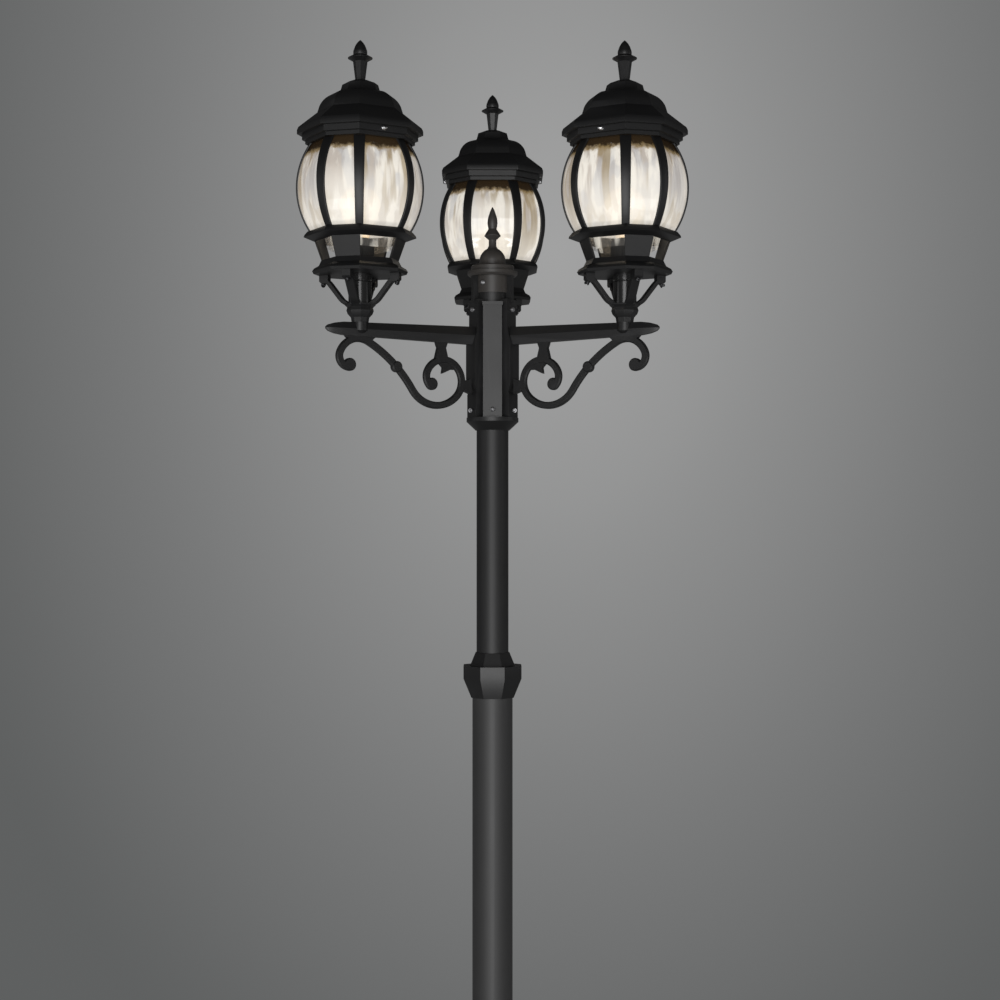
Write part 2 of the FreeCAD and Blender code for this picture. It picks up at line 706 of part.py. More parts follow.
def hub_cap():
    neck = HUB_Z + CAP_SKIRT
    flange = HUB_Z + CAP_FLANGE
    body = cylinder(CAP_NECK_R, neck, flange)
    steps = [
        (CAP_FLANGE_R - 3, flange), (CAP_FLANGE_R, flange + 3), (CAP_FLANGE_R, flange + CAP_STEP - 1),
        (CAP_STEP_R, flange + CAP_STEP), (CAP_STEP_R, flange + 2 * CAP_STEP - 2),
        (CAP_STEP_R - 2, CAP_TOP_Z),
    ]
    body = body.fuse(turned(steps))
    body = body.cut(cylinder(CORE_R + FIT, neck - 1, HUB_Z + CORE_TOP))
    body = body.cut(cylinder(CORE_BORE_R, HUB_Z + CORE_TOP - 1, CAP_TOP_Z - CAP_STEP))
    body = body.cut(cylinder(HUB_FINIAL_STUD_R + FIT, CAP_TOP_Z - CAP_STEP - 1, CAP_TOP_Z + 1))
    for angle in cap_screw_angles():
        body = body.cut(placed(screw_hole(cap_screw_length()), angle, *cap_screw_seat()))
    return body.removeSplitter()


def hub_finial():
    foot = CAP_TOP_Z
    collar = foot + HUB_FINIAL_COLLAR
    over = collar + HUB_FINIAL_OVER
    tip = foot + HUB_FINIAL_HEIGHT
    egg = tip - over
    outline = [
        (HUB_DOME_R, foot), (HUB_DOME_R, foot + HUB_DOME * 0.3),
        (HUB_DOME_R * 0.78, foot + HUB_DOME * 0.75, VIA), (HUB_FINIAL_NECK_R + 2, foot + HUB_DOME),
        (HUB_FINIAL_NECK_R, foot + HUB_DOME + 4), (HUB_FINIAL_NECK_R, collar - HUB_FINIAL_UNDER),
        (HUB_FINIAL_COLLAR_R, collar - FINIAL_EDGE), (HUB_FINIAL_COLLAR_R, collar),
        (HUB_EGG_R * 0.8, over), (HUB_EGG_R, over + egg * 0.32, VIA), (HUB_EGG_R * 0.66, over + egg * 0.66),
        (HUB_EGG_R * 0.37, over + egg * 0.85, VIA), (0, tip),
    ]
    return turned(outline).fuse(cylinder(HUB_FINIAL_STUD_R, foot - HUB_FINIAL_STUD, foot))


# ================================================================ arm and scroll, along +X
def arm_section(x, width, height):
    """The arm's eight-cornered section, flat at the top and bottom, with a ridge on each side."""
    w = width / 2
    h = height / 2
    flat = w * ARM_FLAT
    points = [(w, 0), (flat, h), (-flat, h), (-w, 0), (-flat, -h), (flat, -h)]
    corners = [Vector(x, y, ARM_Z + z) for y, z in points]
    return Part.makePolygon(corners + corners[:1])


def arm_half_height(x):
    """Half the arm's height at a distance from the post's axis."""
    slope = (ARM_END_HEIGHT - ARM_ROOT_HEIGHT) / (ARM_REACH - CORE_R)
    return (ARM_ROOT_HEIGHT + slope * (x - CORE_R)) / 2


def arm_tail():
    """The full section beyond the lantern's axis: its reach, width and height."""
    tail = ARM_REACH + ARM_TAIL
    share = (tail - CORE_R) / (ARM_REACH - CORE_R)
    return tail, ARM_ROOT_WIDTH + share * (ARM_END_WIDTH - ARM_ROOT_WIDTH), 2 * arm_half_height(tail)


def arm_bar():
    return Part.makeLoft([arm_section(CORE_R, ARM_ROOT_WIDTH, ARM_ROOT_HEIGHT), arm_section(*arm_tail())], True, True)


def arm():
    tail, width, height = arm_tail()
    point = Part.makeLoft([
        arm_section(tail, width, height),
        arm_section(tail + ARM_POINT * 0.5, width * 0.8, height * 0.8),
        arm_section(tail + ARM_POINT * 0.85, width * 0.5, height * 0.5),
        arm_section(tail + ARM_POINT, ARM_POINT_SIZE, ARM_POINT_SIZE),
    ], True, True)
    boss = cylinder(BOSS_R, ARM_Z - BOSS_DROP, ARM_TOP_Z, ARM_REACH)
    chamfer = Part.makeCone(BOSS_R - 5, BOSS_R, 4, Vector(ARM_REACH, 0, ARM_Z - BOSS_DROP - 4), AXIS)
    body = fused([arm_bar(), point, boss, chamfer, back_plate()])
    wireway = cylinder(ARM_BORE_R, 0, ARM_REACH)
    wireway.rotate(ORIGIN, Vector(0, 1, 0), 90)
    wireway.translate(Vector(0, 0, ARM_Z))
    body = body.cut(wireway)
    body = body.cut(cylinder(POCKET_R, ARM_Z - POCKET_DOWN, ARM_Z + POCKET_UP, ARM_REACH))
    body = body.cut(cylinder(NIPPLE_R + FIT, ARM_Z, ARM_TOP_Z + 1, ARM_REACH))
    body = body.cut(cylinder(BOSS_R + 1, ARM_TOP_Z, ARM_TOP_Z + ARM_END_HEIGHT, ARM_REACH))
    body = body.cut(cylinder(CORE_R + FIT, ARM_Z - PLATE_BOTTOM - 1, ARM_Z + PLATE_TOP + 1))
    body = body.cut(cylinder(CAP_NECK_R + FIT, HUB_Z + CAP_SKIRT - FIT, ARM_Z + PLATE_TOP + 1))
    body = body.cut(placed(screw_hole(shoulder_screw_length()), 0, *shoulder_screw_seat()))
    body = body.cut(placed(screw_hole(foot_screw_length()), 0, *foot_screw_seat()))
    return body.removeSplitter()


def back_plate():
    profile = [
        (CORE_R * 0.8, PLATE_SHOULDER), (PLATE_SHOULDER_R, PLATE_SHOULDER),
        (PLATE_SHOULDER_R, ARM_ROOT_HEIGHT / 2),
        (PLATE_BODY_R, -ARM_ROOT_HEIGHT / 2), (PLATE_BODY_R, -PLATE_BODY_DEPTH),
        (PLATE_WAIST_R, -PLATE_WAIST), (PLATE_FOOT_R, -PLATE_WAIST - PLATE_STEP),
        (PLATE_FOOT_R, -PLATE_BOTTOM), (CORE_R * 0.8, -PLATE_BOTTOM),
    ]
    body = upright_plate([(x, ARM_Z + z) for x, z in profile], PLATE_WIDTH)
    ear_low = ARM_Z + PLATE_SHOULDER - PLATE_STEP
    middle = (CORE_R + PLATE_EAR_R) / 2
    ear = box(PLATE_EAR_R - CORE_R, PLATE_EAR_WIDTH, ARM_Z + PLATE_TOP - ear_low, middle, 0, ear_low)
    for side in (-60, 60):
        body = body.cut(placed(pilaster(FIT), side))
    return body.fuse(ear)


def under_arm(x):
    """A point on the arm's sloping underside, with its height from the arm's centre line."""
    return (x, -arm_half_height(x))


def link_outline():
    half = LINK_TOP_WIDTH / 2
    neck = LINK_NECK_WIDTH / 2
    left = LINK_REACH - half
    right = LINK_REACH + half
    flare = LINK_TOP_WIDTH * 0.07
    shoulder = -ARM_ROOT_HEIGHT / 2 - 3
    return [
        under_arm(left), under_arm(right), (right - flare, shoulder),
        (LINK_REACH + neck, -LINK_NECK_DROP), (right + flare, -LINK_FOOT_DROP),
        (left - flare, -LINK_FOOT_DROP), (LINK_REACH - neck, -LINK_NECK_DROP), (left + flare, shoulder),
    ]


def scroll():
    section = bar_face(BAR_WIDTH, BAR_THICK, BAR_CHAMFER)
    long_radius, long_turn = SCROLL_ARCS[2]
    before = SCROLL_ARCS[:2] + ((long_radius, long_turn * KNOT_ARC_SHARE),)
    _, knot, _ = follow(section, SCROLL_START, SCROLL_HEADING, before)
    solids, end, heading = follow(section, SCROLL_START, SCROLL_HEADING, SCROLL_ARCS)
    inward = math.radians(heading - 90)
    inner = (end[0] + EYE_INSET * math.cos(inward), end[1] + EYE_INSET * math.sin(inward))
    outward = math.radians(SCROLL_HEADING + 90)
    start = SCROLL_START
    outer = (start[0] + EYE_INSET * math.cos(outward), start[1] + EYE_INSET * math.sin(outward))
    for (x, z), radius, thick in (
        (outer, OUTER_EYE_R, BAR_THICK), (inner, INNER_EYE_R, BAR_THICK), (knot, KNOT_R, KNOT_THICK),
    ):
        solids.append(disc(x, z, radius, thick))
    solids.append(upright_plate(link_outline(), BAR_THICK))
    solids.append(upright_plate(CLAW, BAR_THICK - 2))
    pad = [
        under_arm(PAD_REACH - PAD_WIDTH / 2), under_arm(PAD_REACH + PAD_WIDTH / 2),
        (PAD_REACH + PAD_FOOT_WIDTH / 2, -PAD_DROP), (PAD_REACH - PAD_FOOT_WIDTH / 2, -PAD_DROP),
    ]
    solids.append(upright_plate(pad, BAR_THICK))
    heel = [
        (PLATE_BODY_R, -HEEL_DROP + HEEL_HEIGHT / 2), (HEEL_REACH, -HEEL_DROP + HEEL_NECK / 2),
        (HEEL_REACH, -HEEL_DROP - HEEL_NECK / 2), (PLATE_BODY_R, -HEEL_DROP - HEEL_HEIGHT / 2),
    ]
    solids.append(upright_plate(heel, BAR_THICK))
    body = fused(solids)
    body.translate(Vector(0, 0, ARM_Z))
    return body.cut(arm_bar()).cut(back_plate())


def disc(x, z, radius, thick):
    """A round disc in the X-Z plane with chamfered edges."""
    body = turned([(radius - BAR_CHAMFER, 0), (radius, BAR_CHAMFER), (radius, thick - BAR_CHAMFER),
                   (radius - BAR_CHAMFER, thick)])
    body.rotate(ORIGIN, Vector(1, 0, 0), 90)
    body.translate(Vector(x, thick / 2, z))
    return body


# ================================================================ lantern, about its own axis
def lifted(outline, height):
    return [(point[0], point[1] + height) + tuple(point[2:]) for point in outline]


def leg():
    section = bar_face(LEG_THICK, LEG_WIDTH, LEG_CHAMFER)
    solids, _, _ = follow(section, LEG_START, LEG_HEADING, LEG_PATH)
    x = LUG_REACH
    top = BASKET_FLOOR
    low = top - LUG_HEIGHT
    half = LUG_SIZE / 2
    lug = [
        (x - half, top), (x + half, top), (x + half, low + LUG_CHAMFER), (x + half - LUG_CHAMFER, low),
        (x - half + LUG_CHAMFER, low), (x - half, low + LUG_CHAMFER),
    ]
    solids.append(upright_plate(lug, LEG_WIDTH))
    return fused(solids)


def leg_bracket():
    cup = eight_sided([
        (CUP_FOOT_R, 0), (CUP_FOOT_R + 1, 7), (CUP_RIM_R - 1.7, CUP_RIM - 5), (CUP_RIM_R, CUP_RIM),
        (CUP_WAIST_R, CUP_RIM + 4.5), (CUP_TOP_R, CUP_HEIGHT - 2), (CUP_TOP_R, CUP_HEIGHT),
    ], REGULAR)
    body = cup
    for k in range(4):
        arm_leg = leg()
        arm_leg.rotate(ORIGIN, AXIS, 45 + 90 * k)
        body = body.fuse(arm_leg)
    body = body.cut(cylinder(STEM_R + FIT, CUP_HEIGHT - CUP_RECESS, CUP_HEIGHT + BASKET_FLOOR))
    body = body.cut(cylinder(NIPPLE_R + FIT, -1, CUP_HEIGHT))
    body = body.cut(leg_screws(screw_hole_up()))
    body.translate(Vector(0, 0, ARM_TOP_Z))
    return body.removeSplitter()


def screw_up():
    """A screw that points upward into the basket, with its head below a lug."""
    body = screw(LUG_HEIGHT + FLOOR_THICK - 0.5)
    body.rotate(ORIGIN, Vector(0, 1, 0), 90)
    return body


def screw_hole_up():
    body = screw_hole(LUG_HEIGHT + FLOOR_THICK - 0.5, SCREW_HEAD)
    body.rotate(ORIGIN, Vector(0, 1, 0), 90)
    return body


def leg_screws(one):
    """Four copies of a screw or its hole, one under each lug, with heights from the arm's top."""
    copies = []
    for k in range(4):
        copy = one.copy()
        copy.translate(Vector(LUG_SCREW_REACH, 0, BASKET_FLOOR - LUG_HEIGHT))
        copy.rotate(ORIGIN, AXIS, 45 + 90 * k)
        copies.append(copy)
    return Part.makeCompound(copies)


def stem_tube():
    low = CUP_HEIGHT - CUP_RECESS
    groove = STEM_GROOVE
    outline = [
        (STEM_R, low), (STEM_R, groove - STEM_GROOVE_WIDTH / 2),
        (STEM_R - STEM_GROOVE_DEPTH, groove, VIA), (STEM_R, groove + STEM_GROOVE_WIDTH / 2),
        (STEM_R, BASKET_FLOOR),
    ]
    body = turned(lifted(outline, ARM_TOP_Z))
    body = body.cut(cylinder(STEM_BORE_R, ARM_TOP_Z + low + 3, BASKET_Z - 3))
    return body.cut(cylinder(NIPPLE_R + FIT, ARM_TOP_Z, BASKET_Z + 1))


def nipple():
    top = HOLDER_Z + NUT_HEIGHT + 2
    return tube(NIPPLE_R, NIPPLE_R - NIPPLE_BORE_R, ARM_Z + POCKET_UP, top - ARM_Z - POCKET_UP)


def nipple_nut():
    points = [Vector(NUT_ACROSS / math.cos(math.radians(30)) * math.cos(math.radians(60 * k + 30)),
                     NUT_ACROSS / math.cos(math.radians(30)) * math.sin(math.radians(60 * k + 30)),
                     HOLDER_Z) for k in range(7)]
    body = Part.Face(Part.makePolygon(points)).extrude(Vector(0, 0, NUT_HEIGHT))
    return body.cut(cylinder(NIPPLE_R + FIT, HOLDER_Z - 1, HOLDER_Z + NUT_HEIGHT + 1))


def basket():
    sill = eight_sided([
        (SILL_LOW_B, BASKET_FLOOR), (SILL_RIM_B, SILL_RIM),
        (SILL_RIM_B - SILL_BEVEL_IN, SILL_RIM + SILL_BEVEL),
        (SILL_TOP_B + SILL_FOOT_OUT, SILL_TOP - SILL_FOOT), (SILL_TOP_B, SILL_TOP),
    ], SIDE_RATIO)
    panels = eight_sided([(SILL_TOP_B, SILL_TOP), (PANEL_TOP_B, WAIST_LOW)], SIDE_RATIO)
    ring = eight_sided([
        (WAIST_LOW_B, WAIST_LOW), (WAIST_RIM_B, WAIST_RIM),
        (WAIST_RIM_B - WAIST_BAND_IN, WAIST_RIM + WAIST_BAND), (WAIST_TOP_B, WAIST_TOP),
    ], SIDE_RATIO)
    body = fused([sill, panels, ring])
    room = [
        (SILL_TOP_B - BASKET_WALL, BASKET_FLOOR + FLOOR_THICK), (SILL_TOP_B - BASKET_WALL, SILL_TOP),
        (PANEL_TOP_B - BASKET_WALL, WAIST_LOW), (PANEL_TOP_B - BASKET_WALL, WAIST_TOP + 1),
    ]
    body = body.cut(eight_sided(room, SIDE_RATIO))
    for turn in (0, 90):
        wide = SIDE_RATIO * SILL_TOP_B - WINDOW_MARGIN
        top = SIDE_RATIO * PANEL_TOP_B - WINDOW_MARGIN
        corners = [(-wide, SILL_TOP), (wide, SILL_TOP), (top, WAIST_LOW), (-top, WAIST_LOW)]
        window = upright_plate(corners, 4 * PANEL_TOP_B)
        window.rotate(ORIGIN, AXIS, turn)
        body = body.cut(window)
    body = body.cut(cylinder(NIPPLE_R + FIT, BASKET_FLOOR - 1, BASKET_FLOOR + FLOOR_THICK + 1))
    body = body.cut(leg_screws(screw_hole_up()))
    body.translate(Vector(0, 0, ARM_TOP_Z))
    return body.removeSplitter()


def glass_outline(grow, low, high):
    """The bulged side of the diffuser, moved outward by grow, between two heights."""
    points = []
    for z in (low, GLASS_MAX, high):
        b = GLASS_MAX_B - GLASS_ARC_R + math.sqrt(GLASS_ARC_R ** 2 - (z - GLASS_MAX) ** 2) + grow
        points.append((b, z))
    points[1] += (VIA,)
    return points


def glass_body(grow, low, high):
    return eight_sided(glass_outline(grow, low, high), SIDE_RATIO)


def neck_body(shrink, low, high):
    return eight_sided([(GLASS_NECK_END_B - shrink, low), (GLASS_NECK_B - shrink, high)], SIDE_RATIO)


def diffuser():
    bottom = WAIST_TOP
    neck_low = WAIST_TOP - GLASS_NECK
    body = glass_body(0, bottom, GLASS_TOP).fuse(neck_body(0, neck_low, bottom))
    room = glass_body(-GLASS_WALL, bottom + GLASS_SHOULDER, GLASS_TOP)
    neck_room = neck_body(GLASS_WALL, neck_low, bottom + GLASS_SHOULDER)
    body = body.cut(room).cut(neck_room)
    body.translate(Vector(0, 0, ARM_TOP_Z))
    return body.removeSplitter()


def ribs():
    """Eight strips over the diffuser's corners, from the waist ring up to the roof's edge."""
    low = WAIST_TOP
    high = ROOF_Z - PLAY - ARM_TOP_Z
    corner = math.hypot(1, SIDE_RATIO)
    outer = glass_outline(0, low, high)
    outline = [(corner * p[0] + FIT + RIB_THICK, p[1]) + tuple(p[2:]) for p in outer]
    edges = outline_edges(outline)
    inside = GLASS_NECK_B
    edges += [
        straight(Vector(outline[0][0], 0, low), Vector(inside, 0, low)),
        straight(Vector(inside, 0, low), Vector(inside, 0, high)),
        straight(Vector(inside, 0, high), Vector(outline[-1][0], 0, high)),
    ]
    slab = closed_face(edges).extrude(Vector(0, 2 * RIB_TOP_WIDTH, 0))
    slab.translate(Vector(0, -RIB_TOP_WIDTH, 0))
    half_top = RIB_TOP_WIDTH / 2
    half_end = RIB_END_WIDTH / 2
    strip = [
        Vector(0, -half_end, low), Vector(0, half_end, low),
        Vector(0, half_top, high), Vector(0, -half_top, high),
    ]
    taper = Part.Face(Part.makePolygon(strip + strip[:1])).extrude(Vector(2 * GLASS_MAX_B, 0, 0))
    one = slab.common(taper)
    inner = glass_body(FIT, low - 1, high + 1)
    lean = math.degrees(math.atan(SIDE_RATIO))
    copies = []
    for k in range(4):
        for turn in (lean, -lean):
            copy = one.copy()
            copy.rotate(ORIGIN, AXIS, 90 * k + turn)
            copies.append(copy.cut(inner))
    for copy in copies:
        copy.translate(Vector(0, 0, ARM_TOP_Z))
    return Part.makeCompound(copies)


def top_ring():
    low = GLASS_TOP_Z
    high = low + TOP_RING_HEIGHT
    body = eight_sided([(TOP_RING_B, low), (TOP_RING_B, high)], SIDE_RATIO)
    band = TOP_RING_B - TOP_RING_BAND
    lip = low + TOP_RING_LIP
    body = body.cut(eight_sided([(TOP_RING_INNER_B, low - 1), (TOP_RING_INNER_B, lip)], SIDE_RATIO))
    return body.cut(eight_sided([(band, lip), (band, high + 1)], SIDE_RATIO))


def roof():
    ledge = ROOF_Z + EAVE
    outer = [
        (FASCIA_LOW_B, 0), (FASCIA_LOW_B, FASCIA_STEP - 0.8), (FASCIA_B, FASCIA_STEP), (FASCIA_B, EAVE),
        (EAVE_B, EAVE), (EAVE_B, EAVE + EAVE_RIM), (EAVE_EDGE_B, EAVE_EDGE), (DOME_FOOT_B, DOME_FOOT),
        (DOME_SIDE_B, DOME_SIDE), (DOME_SHOULDER_B, DOME_SHOULDER, VIA), (DOME_TOP_B, DOME_TOP),
        (CROWN_FOOT_B, CROWN_FOOT), (CROWN_RIM_B, CROWN_RIM), (CROWN_TOP_B, CROWN_TOP),
    ]
    wall = ROOF_WALL
    inner = [
        (TOP_RING_B + PLAY, -1), (TOP_RING_B + PLAY, FASCIA_STEP - 2), (FASCIA_B - wall, FASCIA_STEP),
        (FASCIA_B - wall, EAVE), (ROOF_LEDGE_B, EAVE), (ROOF_LEDGE_B, EAVE + wall),
        (EAVE_EDGE_B - 3 * wall, EAVE + wall), (DOME_FOOT_B - wall, DOME_FOOT - wall),
        (DOME_SIDE_B - wall, DOME_SIDE - wall), (DOME_SHOULDER_B - wall, DOME_SHOULDER - wall, VIA),
        (DOME_TOP_B - wall, DOME_TOP - wall), (CROWN_FOOT_B - 2 * wall, CROWN_FOOT),
        (CROWN_RIM_B - 2 * wall, CROWN_RIM - wall), (CROWN_TOP_B - wall, CROWN_RIM - wall + 1),
    ]
    body = eight_sided(lifted(outer, ROOF_Z), SIDE_RATIO).cut(eight_sided(lifted(inner, ROOF_Z), SIDE_RATIO))
    body = body.cut(cylinder(FINIAL_STUD_R + FIT, ledge, FINIAL_Z + 1))
    for angle in (90, 270):
        body = body.cut(placed(screw_hole(roof_screw_length()), angle, FASCIA_B, ROOF_Z + ROOF_SCREW))
    return body.removeSplitter()


def roof_screw_length():
    return FASCIA_B - TOP_RING_B - PLAY


def roof_screws():
    return Part.makeCompound([
        placed(screw(roof_screw_length()), angle, FASCIA_B, ROOF_Z + ROOF_SCREW) for angle in (90, 270)
    ])


def roof_finial():
    collar = FINIAL_COLLAR
    under = collar - FINIAL_COLLAR_UNDER
    stem = eight_sided([(FINIAL_FOOT_R, 0), (FINIAL_NECK_R, under)], REGULAR)
    egg = FINIAL_HEIGHT - FINIAL_EGG
    top = turned([
        (FINIAL_NECK_R, under), (FINIAL_COLLAR_R, collar - FINIAL_EDGE), (FINIAL_COLLAR_R, collar),
        (FINIAL_EGG_R * 0.96, collar + FINIAL_COLLAR_OVER), (FINIAL_EGG_R, FINIAL_EGG, VIA),
        (FINIAL_EGG_R * 0.87, FINIAL_EGG + egg * 0.3), (FINIAL_EGG_R * 0.53, FINIAL_EGG + egg * 0.7, VIA),
        (0, FINIAL_HEIGHT),
    ])
    body = fused([stem, top, cylinder(FINIAL_STUD_R, -FINIAL_STUD, 1)])
    body.translate(Vector(0, 0, FINIAL_Z))
    return body


# ================================================================ lampholder and bulb
def lampholder():
    low = HOLDER_Z
    high = low + HOLDER_HEIGHT
    web = low + HOLDER_FOOT_BORE
    body = turned([
        (HOLDER_R - 1.5, low), (HOLDER_R - 1.5, web), (HOLDER_R, web + 2), (HOLDER_R, high - HOLDER_RIM),
        (HOLDER_R - 1.5, high),
    ])
    body = body.cut(cylinder(HOLDER_FOOT_BORE_R, low - 1, web))
    body = body.cut(cylinder(BULB_CAP_R + PLAY, web + HOLDER_WEB, high + 1))
    return body.cut(cylinder(CONTACT_R + FIT, web - 1, web + HOLDER_WEB + 1))


def contact():
    """Centre contact of a lampholder, under the bulb's tip."""
    web = HOLDER_Z + HOLDER_FOOT_BORE
    return cylinder(CONTACT_R, web - 3, web + HOLDER_WEB)


def bulb_cap():
    """Screw cap with rounded ring-shaped threads."""
    low = BULB_Z
    edge = low + BULB_CAP_LENGTH
    outline = [(BULB_TIP_R, low - BULB_TIP), (BULB_CAP_R - 2, low)]
    thread = low + 1
    for _ in range(BULB_THREAD_TURNS):
        outline.append((BULB_CAP_R - BULB_THREAD_DEPTH, thread))
        outline.append((BULB_CAP_R, thread + BULB_THREAD_PITCH / 2, VIA))
        thread += BULB_THREAD_PITCH
    outline += [(BULB_CAP_R - BULB_THREAD_DEPTH, thread), (BULB_CAP_R, edge - 1), (BULB_CAP_R, edge)]
    return turned(outline)


def bulb_shell(radius, neck_r, low, centre):
    """A round bulb whose sloping neck runs tangent into its sphere."""
    down = centre - low
    far = math.hypot(neck_r, down)
    swing = math.acos(radius / far) + math.atan2(neck_r, down)
    touch = (radius * math.sin(swing), centre - radius * math.cos(swing))
    side = (radius * math.sin((swing + math.pi) / 2), centre - radius * math.cos((swing + math.pi) / 2), VIA)
    return turned([(neck_r, low), touch, side, (0, centre + radius)])


def bulb_glass():
    low = BULB_Z + BULB_CAP_LENGTH
    centre = BULB_Z - BULB_TIP + BULB_LENGTH - BULB_R
    outer = bulb_shell(BULB_R, BULB_CAP_R, low, centre)
    return outer.cut(bulb_shell(BULB_R - BULB_WALL, BULB_CAP_R - BULB_WALL, low - 0.001, centre))


# ================================================================ wiring
def hub_connector():
    low = ARM_Z - CONNECTOR_HEIGHT / 2
    return cylinder(CONNECTOR_R, low, low + CONNECTOR_HEIGHT)


def lamp_lead():
    """From the connector along the arm, up through the nipple and into the lampholder."""
    run = ARM_REACH - LAMP_LEAD_BEND - CONNECTOR_R
    rise = HOLDER_Z + HOLDER_FOOT_BORE - 3 - (ARM_Z + LAMP_LEAD_BEND)
    path = ((run, 0), (LAMP_LEAD_BEND, 90.0), (rise, 0))
    solids, _, _ = follow(round_face(LAMP_LEAD_R), (CONNECTOR_R, ARM_Z), 0.0, path)
    return fused(solids)


def terminal_block():
    size_x, size_y, size_z = TERMINAL_SIZE
    top = TUBE_SEAT_Z - WEB - TERMINAL_DROP
    body = box(size_x, size_y, size_z, TERMINAL_REACH, 0, top - size_z)
    reach = TERMINAL_REACH - size_x / 4
    for k in (-1, 0, 1):
        body = body.cut(cylinder(size_y / 12, top - size_z / 3, top + 1, reach, k * size_y / 3))
    return body


def mains_lead():
    """From the terminal block in the base up through the post to the hub's connector."""
    size_x, _, size_z = TERMINAL_SIZE
    side = TERMINAL_REACH - size_x / 2
    low = TUBE_SEAT_Z - WEB - TERMINAL_DROP - size_z / 2
    top = ARM_Z - CONNECTOR_HEIGHT / 2
    path = ((side, -90.0), (top - low - side, 0))
    solids, _, _ = follow(round_face(MAINS_LEAD_R), (side, low), 180.0, path)
    return fused(solids)


def collar_screws():
    screws = []
    for angle in COLLAR_SCREW_ANGLES:
        screws.append(placed(screw(collar_low_screw()), angle, *collar_low_seat()))
        screws.append(placed(screw(collar_top_screw()), angle, *collar_top_seat()))
    return Part.makeCompound(screws)


# ================================================================ parts
def save(name, shape):
    shape.exportStep("parts/" + name + ".step")


def for_each_arm(shape, reach):
    return Part.makeCompound([placed(shape, angle, reach) for angle in ARM_ANGLES.values()])


def main():
    os.makedirs("parts", exist_ok=True)
    save("base", base())
    save("base_screws", Part.makeCompound([base_screw(angle) for angle in BASE_SCREW_ANGLES]))
    save("lower_tube", lower_tube())
    save("upper_tube", upper_tube())
    save("pole_collar", pole_collar())
    save("collar_screws", collar_screws())
    save("hub_column", hub_column())
    save("hub_cap", hub_cap())
    save("hub_finial", hub_finial())
    screws = [placed(screw(length), angle, *seat) for length, angle, seat in hub_screw_places()]
    save("hub_screws", Part.makeCompound(screws))
    save("hub_connector", hub_connector())
    save("terminal_block", terminal_block())
    save("mains_lead", mains_lead())
    save("lamp_leads", for_each_arm(lamp_lead(), 0))
    up = screw_up()
    legs = leg_screws(up)
    legs.translate(Vector(0, 0, ARM_TOP_Z))
    save("leg_screws", for_each_arm(legs, ARM_REACH))
    save("stem_tubes", for_each_arm(stem_tube(), ARM_REACH))
    save("nipples", for_each_arm(nipple(), ARM_REACH))
    save("nipple_nuts", for_each_arm(nipple_nut(), ARM_REACH))
    save("lampholder_contacts", for_each_arm(contact(), ARM_REACH))
    on_axis = {
        "roof": roof(), "roof_finial": roof_finial(), "roof_screws": roof_screws(),
        "top_ring": top_ring(), "ribs": ribs(), "diffuser": diffuser(), "basket": basket(),
        "leg_bracket": leg_bracket(), "lampholder": lampholder(),
        "bulb_cap": bulb_cap(), "bulb_glass": bulb_glass(),
    }
    on_post = {"arm": arm(), "scroll": scroll()}
    for side, angle in ARM_ANGLES.items():
        for name, shape in on_axis.items():
            save(name + "_" + side, placed(shape, angle, ARM_REACH))
        for name, shape in on_post.items():
            save(name + "_" + side, placed(shape, angle))


main()
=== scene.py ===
import math

import bmesh
import bpy
from bpy.props import FloatProperty, FloatVectorProperty, PointerProperty
from bpy.types import Operator, Panel, PropertyGroup
from mathutils import Matrix, Vector


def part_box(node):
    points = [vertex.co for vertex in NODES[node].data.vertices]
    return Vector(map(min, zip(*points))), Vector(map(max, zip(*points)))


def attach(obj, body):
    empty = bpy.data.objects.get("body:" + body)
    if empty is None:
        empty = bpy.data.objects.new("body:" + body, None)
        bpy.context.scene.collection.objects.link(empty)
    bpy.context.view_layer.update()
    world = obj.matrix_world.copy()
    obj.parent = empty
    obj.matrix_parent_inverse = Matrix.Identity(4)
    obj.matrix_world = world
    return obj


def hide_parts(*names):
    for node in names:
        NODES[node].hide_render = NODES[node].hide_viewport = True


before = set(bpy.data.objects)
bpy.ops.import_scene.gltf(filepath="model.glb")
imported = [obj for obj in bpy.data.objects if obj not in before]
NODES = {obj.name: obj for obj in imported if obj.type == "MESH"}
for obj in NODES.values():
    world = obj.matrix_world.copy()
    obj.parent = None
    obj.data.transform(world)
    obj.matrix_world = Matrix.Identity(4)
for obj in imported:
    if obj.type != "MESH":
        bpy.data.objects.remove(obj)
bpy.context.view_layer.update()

bl_info = {
    "name": "Triple Head Lamp Post",
    "version": (1, 0, 0),
    "blender": (4, 5, 0),
    "location": "View3D > Sidebar > Lamp Post",
    "description": "Dresses the lamp post's frame with its finishes, glass, bulbs and fasteners",
    "category": "Object",
}

SIDES = ("left", "right", "rear")

# ------------------------------------------------------------ sizes read from the frame, in metres
def middle(node):
    """The middle of a CAD node's box."""
    low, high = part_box(node)
    return (low + high) / 2


